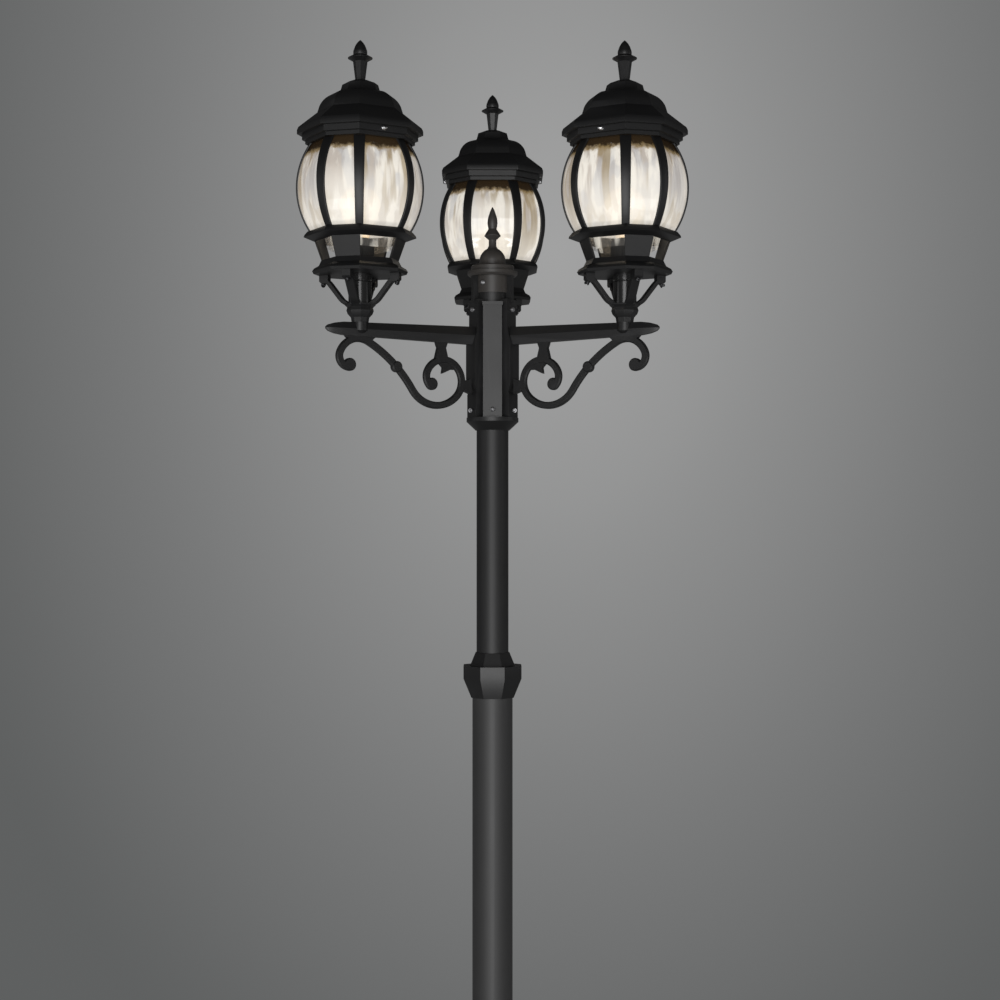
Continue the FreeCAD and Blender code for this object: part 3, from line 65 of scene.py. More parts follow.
LANTERN = {side: Vector((middle("diffuser_" + side).x, middle("diffuser_" + side).y, 0)) for side in SIDES}
TURN = {side: math.atan2(LANTERN[side].y, LANTERN[side].x) for side in SIDES}
GLASS_LOW, GLASS_HIGH = (corner.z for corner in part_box("diffuser_rear"))
GLASS_HALF = (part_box("diffuser_rear")[1].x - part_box("diffuser_rear")[0].x) / 2
RIB_LOW, RIB_HIGH = (corner.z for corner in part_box("ribs_rear"))
HOLDER_LOW, HOLDER_HIGH = (corner.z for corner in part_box("lampholder_rear"))
CAP_LOW, CAP_HIGH = (corner.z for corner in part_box("bulb_cap_rear"))
BULB_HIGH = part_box("bulb_glass_rear")[1].z
BULB_RADIUS = (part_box("bulb_glass_rear")[1].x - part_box("bulb_glass_rear")[0].x) / 2
BULB_MIDDLE = BULB_HIGH - BULB_RADIUS

# ------------------------------------------------------------ sizes of the scene's own pieces, in metres
SIDE_RATIO = 0.5            # half a wide side's length as a share of its distance from the axis
WIDEST = 0.0628             # height of the glass's widest place above the waist ring
GLASS_ARC = 0.126           # radius of the glass's bulged side
GLASS_WALL = 0.0025
SHOULDER = 0.003            # thickness of the shoulder between the neck and the bulged part
NECK_HALF = 0.049
NECK_FOOT_HALF = 0.0425
GLASS_CORNER = 0.0035       # radius of the moulded corners
GLASS_ROWS = 26             # rows of faces up the bulged part
GLASS_EDGE = 0.0005         # rounding of the mouth's and foot's edges
RIB_GAP = 0.00015
RIB_THICK = 0.0018
RIB_HEAD_WIDTH = 0.0165
RIB_FOOT_WIDTH = 0.0115
RIB_EDGE = 0.0005
RIB_WRAP = 0.3              # how far the rib's back follows the corner, as a share of its full hollow
RIB_STEPS = 30
WELD = 2e-5                 # points of a CAD mesh that are closer than this are one
SCREW_WELD = 1e-5           # the same for the small screws
SCREW_HEAD_RADIUS = 0.0036
SCREW_HEAD = 0.0024
SCREW_SHANK_RADIUS = 0.0019
SCREW_LENGTH = 0.0045       # length of the shank
UPRIGHT_SCREW = 3.2 * SCREW_HEAD_RADIUS     # a screw taller than this stands upright, the others lie level
RECESS_LONG = 0.0021        # half the length of the cross recess
RECESS_WIDE = 0.00048       # half its width
RECESS_DEEP = 0.0011
CAP_RADIUS = 0.0131
THREAD_DEPTH = 0.0009
THREAD_PITCH = 0.0036
THREAD_TURNS = 5
THREAD_START = 0.0065       # above the cap's tip
HOLDER_RADIUS = 0.0205
GRIP_RADIUS = 0.0007
GRIP_COUNT = 36
GRIP_FOOT = 0.020           # the ridges start this far above the holder's foot
GRIP_HEAD = 0.006           # and end this far below its head
GRIP_END = 0.0008           # length over which a ridge's end tapers

# ------------------------------------------------------------ angles, colours and lights
FLAT_ANGLE = math.radians(0.6)      # CAD faces that lean less than this to each other are one face
ROUNDED_ANGLE = math.radians(28)    # edges of castings and tubes that are sharper than this are rounded
# painted light: a brownish cast in the hub cap's and finial's coat stands in for the lanterns' glow falling
# on them
LANTERN_GLOW_TINT = (0.058, 0.052, 0.047, 1)
# painted light: a paler grey mixed into the lower tube's coat stands in for its brighter highlight
PAINTED_LIGHT_GREY = (0.11, 0.11, 0.11, 1)
LANTERN_LIT_PIECES = ("hub_cap", "hub_finial")
LANTERN_GLOW_SHARE = 0.6                # share of the painted lantern glow in their coat
PAINTED_LIGHT_SHARE = {"lower_tube": 0.22, "upper_tube": 0.0}     # share of painted light, a paler grey, in each tube's coat; the lower tube is painted lighter for its brighter highlight

# each soft light's name, place, target, width, height and power in watts
SOFT_LAMPS = (
    ("front_softbox", (-0.30, -3.6, 1.75), (0, 0, 1.55), 1.8, 1.6, 46.0),
    ("low_softbox", (-0.10, -3.3, 0.10), (0, 0, 0.50), 1.2, 1.0, 42.0),
    ("low_left_softbox", (-2.0, -2.6, 0.60), (0, 0, 1.70), 1.0, 0.8, 7.0),
    ("low_right_softbox", (2.0, -2.6, 0.60), (0, 0, 1.70), 1.0, 0.8, 7.0),
    ("left_softbox", (-3.2, -0.9, 1.9), (0, 0, 1.5), 0.7, 1.8, 5.0),
    ("right_softbox", (3.2, -0.6, 1.9), (0, 0, 1.5), 0.7, 1.8, 5.0),
)

# the backdrop's grey by the distance from its brightest direction
BACKDROP_STOPS = (
    (0.00, (0.375, 0.375, 0.375, 1)),
    (0.12, (0.290, 0.292, 0.292, 1)),
    (0.20, (0.240, 0.242, 0.242, 1)),
    (0.28, (0.186, 0.189, 0.189, 1)),
    (0.36, (0.148, 0.151, 0.151, 1)),
    (0.44, (0.108, 0.112, 0.112, 1)),
)

# ------------------------------------------------------------ the camera
CAMERA_DISTANCE = 2.665
CAMERA_HEIGHT = 1.403
CAMERA_LENS = 63.07         # in millimetres
CAMERA_YAW = -0.245         # in degrees, like the pitch
CAMERA_PITCH = 0.49
SENSOR_WIDTH = 36.0         # in millimetres


# ============================================================ settings
class LampPostSizes(PropertyGroup):
    edge: FloatProperty(
        name="Cast edge", description="Width of the rounding along the castings' edges",
        default=0.0008, min=0.0001, max=0.003, unit="LENGTH")
    tube_edge: FloatProperty(
        name="Tube edge", description="Width of the rounding at the tubes' ends",
        default=0.0003, min=0.0001, max=0.001, unit="LENGTH")
    grain: FloatProperty(
        name="Powder grain", description="Size of the powder coat's fine grain",
        default=0.0011, min=0.0003, max=0.01, unit="LENGTH")
    floor_radius: FloatProperty(
        name="Floor radius", description="How far the floor reaches from the post",
        default=2.2, min=0.5, max=6.0, unit="LENGTH")


class LampPostLooks(PropertyGroup):
    coat: FloatVectorProperty(
        name="Coat", description="Colour of the satin powder coat", subtype="COLOR",
        size=4, min=0, max=1, default=(0.0065, 0.0065, 0.0068, 1))
    coat_worn: FloatVectorProperty(
        name="Rubbed coat", description="Colour of the coat along rubbed edges", subtype="COLOR",
        size=4, min=0, max=1, default=(0.026, 0.026, 0.027, 1))
    # painted light: glow, pale glow, amber and glass strength set the glow painted into the diffusers'
    # glass; the bulbs are the lamps
    glow: FloatVectorProperty(
        name="Glow", description="Colour of the lit glass", subtype="COLOR",
        size=4, min=0, max=1, default=(1.0, 0.955, 0.87, 1))
    pale_glow: FloatVectorProperty(
        name="Pale glow", description="Colour of the glass away from the bulb", subtype="COLOR",
        size=4, min=0, max=1, default=(0.62, 0.56, 0.50, 1))
    amber: FloatVectorProperty(
        name="Amber", description="Colour of the glass's upper edge", subtype="COLOR",
        size=4, min=0, max=1, default=(0.20, 0.135, 0.045, 1))
    bulb_strength: FloatProperty(
        name="Bulb strength", description="How bright the bulbs are", default=1.6, min=0.0, max=100.0)
    glass_strength: FloatProperty(
        name="Glass strength", description="How bright the lit glass is", default=0.56, min=0.0, max=10.0)


def sizes():
    """The sizes that the panel shows."""
    return bpy.context.scene.lamp_post_sizes


def looks():
    """The colours and strengths that the panel shows."""
    return bpy.context.scene.lamp_post_looks


# ============================================================ nodes
class Value:
    """A node's output that stands in a Python expression; each operator adds a Math node."""

    def __init__(self, graph, socket):
        self.graph = graph
        self.socket = socket

    def maths(self, operation, first, second):
        return self.graph.node("ShaderNodeMath", {"operation": operation}, {0: first, 1: second})

    def __add__(self, other):
        return self.maths("ADD", self, other)

    def __radd__(self, other):
        return self.maths("ADD", other, self)

    def __sub__(self, other):
        return self.maths("SUBTRACT", self, other)

    def __rsub__(self, other):
        return self.maths("SUBTRACT", other, self)

    def __mul__(self, other):
        return self.maths("MULTIPLY", self, other)

    def __rmul__(self, other):
        return self.maths("MULTIPLY", other, self)

    def __truediv__(self, other):
        return self.maths("DIVIDE", self, other)

    def __mod__(self, other):
        return self.maths("MODULO", self, other)

    def floored(self):
        return self.graph.node("ShaderNodeMath", {"operation": "FLOOR"}, {0: self})

    def stepped(self, low, high):
        """0 up to low, 1 from high on, and smooth between them; low may be the larger."""
        return self.graph.node(
            "ShaderNodeMapRange", {"interpolation_type": "SMOOTHSTEP"},
            {"Value": self, "From Min": low, "From Max": high})

    def output(self, name):
        return Value(self.graph, self.socket.node.outputs[name])


class Graph:
    """A shader's or Geometry Nodes tree's nodes."""

    def __init__(self, tree):
        self.tree = tree

    def node(self, kind, settings=None, links=None, output=0):
        node = self.tree.nodes.new(kind)
        for name, value in (settings or {}).items():
            if name == "stops":
                set_stops(node.color_ramp, value)
            else:
                setattr(node, name, value)
        for name, value in (links or {}).items():
            several = value if isinstance(value, list) else [value]
            for one in several:
                if isinstance(one, Value):
                    self.tree.links.new(one.socket, node.inputs[name])
                else:
                    node.inputs[name].default_value = one
        return Value(self, node.outputs[output]) if node.outputs else None

    def mix(self, factor, first, second, blend="MIX"):
        """Two colours mixed by a factor."""
        settings = {"data_type": "RGBA", "blend_type": blend}
        return self.node("ShaderNodeMix", settings, {0: factor, 6: first, 7: second}, output=2)

    def places(self, scale=(1, 1, 1), centre=(0, 0, 0), turn=0.0):
        """Object coordinates about a centre, turned about Z and stretched."""
        here = self.node("ShaderNodeTexCoord", output="Object")
        moved = self.node("ShaderNodeVectorMath", {"operation": "SUBTRACT"}, {0: here, 1: centre})
        return self.node("ShaderNodeMapping", {}, {
            "Vector": moved, "Rotation": (0, 0, -turn), "Scale": scale})

    def noise(self, places, scale, detail=2.0, roughness=0.5):
        return self.node("ShaderNodeTexNoise", {}, {
            "Vector": places, "Scale": scale, "Detail": detail, "Roughness": roughness})

    def bump(self, height, strength, distance):
        return self.node("ShaderNodeBump", {}, {
            "Height": height, "Strength": strength, "Distance": distance})


def set_stops(ramp, stops):
    """Gives a colour ramp its stops, with a smooth curve through them."""
    ramp.interpolation = "B_SPLINE"
    while len(ramp.elements) > 1:
        ramp.elements.remove(ramp.elements[-1])
    ramp.elements[0].position, ramp.elements[0].color = stops[0]
    for position, colour in stops[1:]:
        ramp.elements.new(position).color = colour


class Surface(Graph):
    """A material, finished with its Principled shader's sockets."""

    def __init__(self, name):
        self.material = bpy.data.materials.new(name)
        self.material.use_nodes = True
        self.material.node_tree.nodes.clear()
        super().__init__(self.material.node_tree)

    def finish(self, **sockets):
        links = {name.replace("_", " ").title().replace("Ior", "IOR"): v for name, v in sockets.items()}
        shader = self.node("ShaderNodeBsdfPrincipled", {}, links)
        self.node("ShaderNodeOutputMaterial", {}, {"Surface": shader})
        return self.material


def material(name, make, *values):
    """The named material, made the first time that a piece asks for it."""
    return bpy.data.materials.get(name) or make(name, *values)


# ============================================================ finishes
def satin_coat(name, lantern_glow=0.0):
    """Satin black powder coat on castings: uneven gloss, fine grain, rubbed edges, and a brownish glow from
    the lanterns painted in if asked.
    """
    s = Surface(name)
    places = s.places()
    grain = s.noise(places, 1 / sizes().grain, 1.0)
    cloud = s.noise(places, 11.0, 4.0, 0.6)
    casting = s.noise(places, 150.0, 2.0)
    pointiness = s.node("ShaderNodeNewGeometry", output="Pointiness")
    rubbed = pointiness.stepped(0.53, 0.64) * cloud.stepped(0.35, 0.65) * 0.6
    colour = s.mix(rubbed, tuple(looks().coat), tuple(looks().coat_worn))
    # painted light: the lanterns' glow on the hub cap and finial, as a brownish cast in the coat
    colour = s.mix(lantern_glow * (0.7 + cloud * 0.6), colour, LANTERN_GLOW_TINT)
    height = grain * 0.35 + casting * 0.65
    return s.finish(
        base_color=colour,
        roughness=0.37 + cloud * 0.12 + grain * 0.05 - rubbed * 0.1,
        normal=s.bump(height, 0.16, 0.0006),
        specular_ior_level=0.5)


def tube_coat(name, painted_light):
    """The same coat on drawn tube, made paler with painted light if asked, with faint lines along its
    length.
    """
    s = Surface(name)
    lines = s.noise(s.places(scale=(1, 1, 0.004)), 260.0, 2.0)
    places = s.places()
    grain = s.noise(places, 1 / sizes().grain, 1.0)
    cloud = s.noise(places, 7.0, 4.0, 0.6)
    colour = s.mix(cloud.stepped(0.45, 0.75) * 0.18, tuple(looks().coat), tuple(looks().coat_worn))
    # painted light: the paler grey that stands in for the lower tube's brighter highlight
    colour = s.mix(painted_light * (0.85 + cloud * 0.3), colour, PAINTED_LIGHT_GREY)
    return s.finish(
        base_color=colour,
        roughness=0.43 + cloud * 0.10 + lines * 0.08,
        normal=s.bump(grain * 0.3 + lines * 0.7, 0.12, 0.0005),
        specular_ior_level=0.5)


def gloss_black(name):
    """Glossy black moulding of the stem tubes, with a slight orange peel."""
    s = Surface(name)
    places = s.places()
    peel = s.noise(places, 160.0, 1.0)
    smear = s.noise(places, 30.0, 3.0, 0.6)
    return s.finish(
        base_color=s.mix(smear, (0.008, 0.008, 0.009, 1), (0.016, 0.016, 0.017, 1)),
        roughness=0.08 + smear * 0.10,
        normal=s.bump(peel, 0.05, 0.0004),
        coat_weight=0.4)


def holder_black(name):
    """Moulded lampholder: satin, with a fine spark-eroded texture."""
    s = Surface(name)
    places = s.places()
    spark = s.noise(places, 1500.0, 2.0)
    cloud = s.noise(places, 40.0, 2.0)
    return s.finish(
        base_color=s.mix(cloud, (0.012, 0.012, 0.012, 1), (0.022, 0.021, 0.020, 1)),
        roughness=0.42 + cloud * 0.12,
        normal=s.bump(spark, 0.2, 0.0003))


def lit_acrylic(name, side):
    """Clear moulded acrylic with its bulb's light painted in as glow: a painted hot spot before the bulb,
    painted streaks, and an amber band with a painted shadow at the top.
    """
    s = Surface(name)
    centre = LANTERN[side] + Vector((0, 0, BULB_MIDDLE))
    about = s.places(centre=centre, turn=TURN[side])
    height = s.node("ShaderNodeSeparateXYZ", {}, {0: about}).output("Z")
    streaks = s.noise(s.places((1, 1, 0.10), centre, TURN[side]), 75.0, 3.0, 0.55)
    threads = s.noise(s.places((1, 1, 0.07), centre, TURN[side]), 48.0, 2.0, 0.45)
    ripple = s.noise(s.places((1, 1, 0.40), centre, TURN[side]), 42.0, 2.0, 0.5)
    mottle = s.noise(about, 170.0, 3.0, 0.6)
    drop = height + (mottle - 0.5) * 0.014 + (ripple - 0.5) * 0.012 - (GLASS_HIGH - BULB_MIDDLE)
    # an amber band near the glass's top, mixed into the painted glow and into the base colour
    amber_band = drop.stepped(-0.0235, -0.0175)
    # painted shade: a band darkening the glass at its top, where it lies in shadow under the top ring
    top_shade = drop.stepped(-0.0195, -0.0125)
    neck = height.stepped(RIB_LOW - BULB_MIDDLE, RIB_LOW - BULB_MIDDLE - 0.002)
    # painted light: a hot spot of glow about the bulb's height
    hot_spot = height.stepped(0.040, -0.035)
    # painted light: streaks of brighter and paler glow, cooler grey patches, and amber lines standing in
    # for the lit rear ribs seen through the glass
    pale = s.mix(streaks.stepped(0.42, 0.56), tuple(looks().pale_glow), tuple(looks().glow))
    cool = s.mix(ripple.stepped(0.50, 0.58) * 0.5, pale, (0.54, 0.55, 0.58, 1))
    lit_rib_lines = s.mix(threads.stepped(0.53, 0.60) * 0.7, cool, (0.34, 0.24, 0.10, 1))
    edge = s.node("ShaderNodeLayerWeight", {}, {"Blend": 0.5}, output="Facing")
    # painted light: the glow is brighter where the glass faces the viewer
    before = s.mix(edge.stepped(0.16, 0.03) * 0.65, lit_rib_lines, tuple(looks().glow))
    body = s.mix(hot_spot * 0.6, before, tuple(looks().glow))
    # painted shade: the glow turns darker and browner towards the glass's outline
    rim = edge.stepped(0.40, 0.98)
    lit = s.mix(rim * 0.6, body, (0.34, 0.29, 0.25, 1))
    amber_banded = s.mix(amber_band * 0.9, lit, tuple(looks().amber))
    banded = s.mix(top_shade, amber_banded, (0.010, 0.006, 0.003, 1))
    # painted highlights: light streaks glinting in the clear neck, which is otherwise dim
    gleam = threads.stepped(0.50, 0.58) * neck
    caught = s.mix(gleam, (0.05, 0.045, 0.04, 1), (0.95, 0.90, 0.80, 1))
    colour = s.mix(neck, banded, caught)
    # the base colour carries half of the painted glow, greyer at the bulge's foot, with the amber band and
    # the painted shade at the top
    low = height.stepped(RIB_LOW - BULB_MIDDLE + 0.008, RIB_LOW - BULB_MIDDLE + 0.004)
    clear = s.mix(low * 0.6, s.mix(0.5, lit, (0, 0, 0, 1)), (0.10, 0.095, 0.09, 1))
    return s.finish(
        base_color=s.mix(top_shade, s.mix(amber_band * 0.7, clear, (0.30, 0.20, 0.08, 1)), (0.050, 0.032, 0.016, 1)),
        roughness=0.05 + streaks * 0.06,
        normal=s.bump(ripple * 0.7 + streaks * 0.3, 0.30, 0.0008),
        alpha=0.72 + 0.16 * rim + 0.10 * top_shade - 0.60 * neck + 0.35 * gleam,
        # painted light: the glass glows with these colours though it is no lamp
        emission_color=colour,
        emission_strength=looks().glass_strength)


def opal_bulb(name):
    """Lit opal bulb, a little dimmer at its rim and neck."""
    s = Surface(name)
    height = s.node("ShaderNodeSeparateXYZ", {}, {0: s.places()}).output("Z")
    neck = height.stepped(CAP_HIGH, CAP_HIGH + 0.022)
    edge = s.node("ShaderNodeLayerWeight", {}, {"Blend": 0.5}, output="Facing")
    soft = (1 - edge.stepped(0.25, 1.0) * 0.75) * (0.35 + neck * 0.65)
    colour = s.mix(soft, (0.30, 0.17, 0.06, 1), (1.0, 0.80, 0.52, 1))
    return s.finish(
        base_color=(0.95, 0.93, 0.9, 1), roughness=0.25 + soft * 0.05,
        emission_color=colour, emission_strength=looks().bulb_strength)


def plated(name, tint, rough, brushed):
    """Plated or bare metal with fine brushing and darker spots."""
    s = Surface(name)
    fine = s.noise(s.places(scale=(1, 1, 0.2)), brushed, 2.0)
    spots = s.noise(s.places(), 220.0, 3.0, 0.6)
    dull = tuple(0.55 * c for c in tint[:3]) + (1,)
    return s.finish(
        base_color=s.mix(spots.stepped(0.5, 0.8) * 0.5, tint, dull),
        metallic=1.0,
        roughness=rough + fine * 0.12 + spots * 0.08,
        normal=s.bump(fine, 0.1, 0.0002))


def bright_steel(name):
    return plated(name, (0.66, 0.66, 0.67, 1), 0.20, 900.0)


def dull_steel(name):
    return plated(name, (0.36, 0.36, 0.37, 1), 0.42, 900.0)


def black_steel(name):
    return plated(name, (0.055, 0.055, 0.058, 1), 0.38, 900.0)


def zinc_steel(name):
    return plated(name, (0.60, 0.60, 0.57, 1), 0.30, 700.0)


def cap_metal(name):
    return plated(name, (0.72, 0.71, 0.68, 1), 0.16, 1200.0)


def contact_brass(name):
    return plated(name, (0.78, 0.56, 0.26, 1), 0.22, 900.0)


def moulded_cream(name):
    """Cream thermoplastic of the terminal blocks."""
    s = Surface(name)
    cloud = s.noise(s.places(), 60.0, 3.0)
    return s.finish(
        base_color=s.mix(cloud, (0.68, 0.66, 0.60, 1), (0.78, 0.76, 0.71, 1)),
        roughness=0.40 + cloud * 0.15,
        normal=s.bump(s.noise(s.places(), 900.0), 0.1, 0.0003))


def lead_sheath(name):
    """Matte black sheath of the leads."""
    s = Surface(name)
    scuff = s.noise(s.places(), 120.0, 3.0)
    return s.finish(
        base_color=s.mix(scuff, (0.020, 0.020, 0.020, 1), (0.045, 0.044, 0.043, 1)),
        roughness=0.55 + scuff * 0.15,
        normal=s.bump(scuff, 0.15, 0.0004))


# ============================================================ making pieces
def shown(name, mesh):
    """A new object at the origin with that mesh."""
    piece = bpy.data.objects.new(name, mesh)
    bpy.context.scene.collection.objects.link(piece)
    return piece


def plain(piece):
    """Replaces a piece's mesh by what its modifiers make of it, and removes them."""
    evaluated = piece.evaluated_get(bpy.context.evaluated_depsgraph_get())
    made = bpy.data.meshes.new_from_object(evaluated)
    piece.modifiers.clear()
    piece.data = made
    made.name = piece.name
    return piece


def dressed(piece, finish, body, slot, *nodes):
    """Gives a piece its finish and its body, and hides the CAD nodes that it stands for; the slot is not
    used.
    """
    piece.data.materials.clear()
    piece.data.materials.append(finish)
    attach(piece, body)
    if nodes:
        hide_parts(*nodes)
    return piece


def kept(node, finish):
    """A CAD node that shows as it is, with a finish."""
    mesh = NODES[node].data
    mesh.materials.clear()
    mesh.materials.append(finish)


def rounded_copy(node, name, width):
    """A copy of a CAD node with its flat faces whole again and its edges rounded."""
    shape = bmesh.new()
    shape.from_mesh(NODES[node].data)
    bmesh.ops.remove_doubles(shape, verts=shape.verts, dist=WELD)
    bmesh.ops.dissolve_limit(shape, angle_limit=FLAT_ANGLE, verts=shape.verts, edges=shape.edges)
    for face in shape.faces:
        face.smooth = True
    for edge in shape.edges:
        edge.smooth = len(edge.link_faces) != 2 or edge.calc_face_angle(0) < ROUNDED_ANGLE
    mesh = bpy.data.meshes.new(name)
    shape.to_mesh(mesh)
    shape.free()
    piece = shown(name, mesh)
    bevel = piece.modifiers.new("edges", "BEVEL")
    bevel.width = width
    bevel.segments = 2
    bevel.limit_method = "ANGLE"
    bevel.angle_limit = ROUNDED_ANGLE
    bevel.harden_normals = True
    bevel.miter_outer = "MITER_ARC"
    return plain(piece)


def lofted(name, rings, closed_rows):
    """A mesh from rings of points; the rings join up end to end, or are capped at both ends."""
    points = [point for ring in rings for point in ring]
    around = len(rings[0])
    count = len(rings)
    faces = []
    for row in range(count if closed_rows else count - 1):
        low = row * around
        high = (row + 1) % count * around
        for k in range(around):
            following = (k + 1) % around
            faces.append((low + k, low + following, high + following, high + k))
    if not closed_rows:
        faces.append(tuple(reversed(range(around))))
        faces.append(tuple(range((count - 1) * around, count * around)))
    mesh = bpy.data.meshes.new(name)
    mesh.from_pydata(points, [], faces)
    shape = bmesh.new()
    shape.from_mesh(mesh)
    bmesh.ops.recalc_face_normals(shape, faces=shape.faces)
    shape.to_mesh(mesh)
    shape.free()
    mesh.shade_smooth()
    return mesh


def turned(name, outline, steps=48):
    """A closed mesh revolved about Z from an outline (radius, height) whose ends lie on the axis."""
    points = [(0, 0, outline[0][1])]
    for radius, height in outline[1:-1]:
        for k in range(steps):
            way = 2 * math.pi * k / steps
            points.append((radius * math.cos(way), radius * math.sin(way), height))
    points.append((0, 0, outline[-1][1]))
    faces = []
    last = len(points) - 1
    for k in range(steps):
        following = (k + 1) % steps
        faces.append((0, 1 + following, 1 + k))
        for row in range(len(outline) - 3):
            low = 1 + row * steps
            faces.append((low + k, low + following, low + steps + following, low + steps + k))
        faces.append((last - steps + k, last - steps + following, last))
    mesh = bpy.data.meshes.new(name)
    mesh.from_pydata(points, [], faces)
    mesh.shade_smooth()
    mesh.set_sharp_from_angle(angle=math.radians(40))
    return mesh


# ============================================================ Geometry Nodes
def new_tree(name, sockets):
    """A Geometry Nodes tree with its geometry sockets and the named inputs, and their values."""
    tree = bpy.data.node_groups.new(name, "GeometryNodeTree")
    tree.interface.new_socket("Geometry", in_out="INPUT", socket_type="NodeSocketGeometry")
    tree.interface.new_socket("Geometry", in_out="OUTPUT", socket_type="NodeSocketGeometry")
    for label, kind in sockets:
        tree.interface.new_socket(label, in_out="INPUT", socket_type="NodeSocket" + kind)
    graph = Graph(tree)
    return graph, graph.node("NodeGroupInput")


def close_tree(graph, geometry, finish):
    """Ends a tree with its copies made real and given their finish."""
    whole = graph.node("GeometryNodeRealizeInstances", {}, {"Geometry": geometry})
    coated = graph.node("GeometryNodeSetMaterial", {}, {"Geometry": whole, "Material": finish})
    graph.node("NodeGroupOutput", {}, {"Geometry": coated})
    return graph.tree


def ring_tree():
    """Copies of the starting mesh in a ring about a centre, in pairs that lean to both sides."""
    name = "ring_of_copies"
    if name in bpy.data.node_groups:
        return bpy.data.node_groups[name]
    graph, given = new_tree(name, (
        ("Pairs", "Int"), ("Lean", "Float"), ("Turn", "Float"), ("Centre", "Vector"),
        ("Finish", "Material")))
    pairs = given.output("Pairs")
    points = graph.node("GeometryNodePoints", {}, {"Count": pairs * 2, "Position": given.output("Centre")})
    index = graph.node("GeometryNodeInputIndex")
    which = index % 2
    angle = given.output("Turn") + (index / 2).floored() * (2 * math.pi) / pairs
    angle = angle + (which * 2 - 1) * given.output("Lean")
    rotation = graph.node("ShaderNodeCombineXYZ", {}, {"Z": angle})
    copies = graph.node("GeometryNodeInstanceOnPoints", {}, {
        "Points": points, "Instance": given.output("Geometry"), "Rotation": rotation})
    return close_tree(graph, copies, given.output("Finish"))


def seats_tree():
    """A copy of one object at each starting point, turned to the point's facing."""
    name = "copies_on_seats"
    if name in bpy.data.node_groups:
        return bpy.data.node_groups[name]
    graph, given = new_tree(name, (
        ("Part", "Object"), ("Spin", "Float"), ("Seed", "Int"), ("Finish", "Material")))
    facing = graph.node("GeometryNodeInputNamedAttribute", {"data_type": "FLOAT_VECTOR"}, {
        "Name": "facing"})
    upright = graph.node("FunctionNodeAlignRotationToVector", {"axis": "Z"}, {"Vector": facing})
    spin = graph.node("FunctionNodeRandomValue", {"data_type": "FLOAT"}, {
        2: 0.0, 3: given.output("Spin"), "Seed": given.output("Seed")}, output=1)
    about = graph.node("ShaderNodeCombineXYZ", {}, {"Z": spin})
    rotation = graph.node("FunctionNodeRotateRotation", {"rotation_space": "LOCAL"}, {
        "Rotation": upright, "Rotate By": about})
    part = graph.node("GeometryNodeObjectInfo", {}, {"Object": given.output("Part")}, output="Geometry")
    copies = graph.node("GeometryNodeInstanceOnPoints", {}, {
        "Points": given.output("Geometry"), "Instance": part, "Rotation": rotation})
    return close_tree(graph, copies, given.output("Finish"))


def helix_tree():
    """A helical wire about the Z axis, joined to the starting mesh."""
    name = "helix_on_core"
    if name in bpy.data.node_groups:
        return bpy.data.node_groups[name]
    graph, given = new_tree(name, (
        ("Radius", "Float"), ("Pitch", "Float"), ("Turns", "Float"), ("Wire", "Float"),
        ("Start", "Vector"), ("Finish", "Material")))
    turns = given.output("Turns")
    helix = graph.node("GeometryNodeCurveSpiral", {}, {
        "Resolution": 40, "Rotations": turns, "Start Radius": given.output("Radius"),
        "End Radius": given.output("Radius"), "Height": turns * given.output("Pitch")})
    moved = graph.node("GeometryNodeSetPosition", {}, {"Geometry": helix, "Offset": given.output("Start")})
    circle = graph.node("GeometryNodeCurvePrimitiveCircle", {}, {
        "Resolution": 8, "Radius": given.output("Wire")})
    wire = graph.node("GeometryNodeCurveToMesh", {}, {
        "Curve": moved, "Profile Curve": circle, "Fill Caps": True})
    smooth = graph.node("GeometryNodeSetShadeSmooth", {}, {"Geometry": wire})
    whole = graph.node("GeometryNodeJoinGeometry", {}, {"Geometry": [given.output("Geometry"), smooth]})
    return close_tree(graph, whole, given.output("Finish"))


def grown(name, mesh, tree, **inputs):
    """The plain mesh that a tree makes from a starting mesh."""
    piece = shown(name, mesh)
    modifier = piece.modifiers.new("grow", "NODES")
    modifier.node_group = tree
    known = {
        item.name.lower(): item.identifier
        for item in tree.interface.items_tree if item.in_out == "INPUT"}
    for label, value in inputs.items():
        modifier[known[label]] = value
    return plain(piece)


# ============================================================ shapes of the lanterns
def glass_half(height, grow=0.0):
    """Half width of the bulged glass at a height, along its circular side."""
    return GLASS_HALF - GLASS_ARC + math.sqrt(GLASS_ARC ** 2 - (height - RIB_LOW - WIDEST) ** 2) + grow


def eight_sided_ring(half, height, corner, centre, turn):
    """Points round an eight-sided outline with rounded corners and two points along each side."""
    vertices = []
    for quarter in range(4):
        for side in (-1, 1):
            way = turn + quarter * math.pi / 2 + side * math.atan(SIDE_RATIO)
            reach = half * math.hypot(1, SIDE_RATIO)
            vertices.append(Vector((reach * math.cos(way), reach * math.sin(way), 0)))
    points = []
    cut = corner * math.tan(math.pi / 8)
    for k, here in enumerate(vertices):
        before = (vertices[k - 1] - here).normalized()
        after = (vertices[(k + 1) % 8] - here).normalized()
        inward = (before + after).normalized()
        hub = here + inward * corner / math.cos(math.pi / 8)
        first = math.atan2(*(here + before * cut - hub).yx)
        for step in range(5):
            way = first + step * math.pi / 16
            points.append(hub + corner * Vector((math.cos(way), math.sin(way), 0)))
        there = vertices[(k + 1) % 8]
        points += [here.lerp(there, 1 / 3), here.lerp(there, 2 / 3)]
    return [centre + point + Vector((0, 0, height)) for point in points]


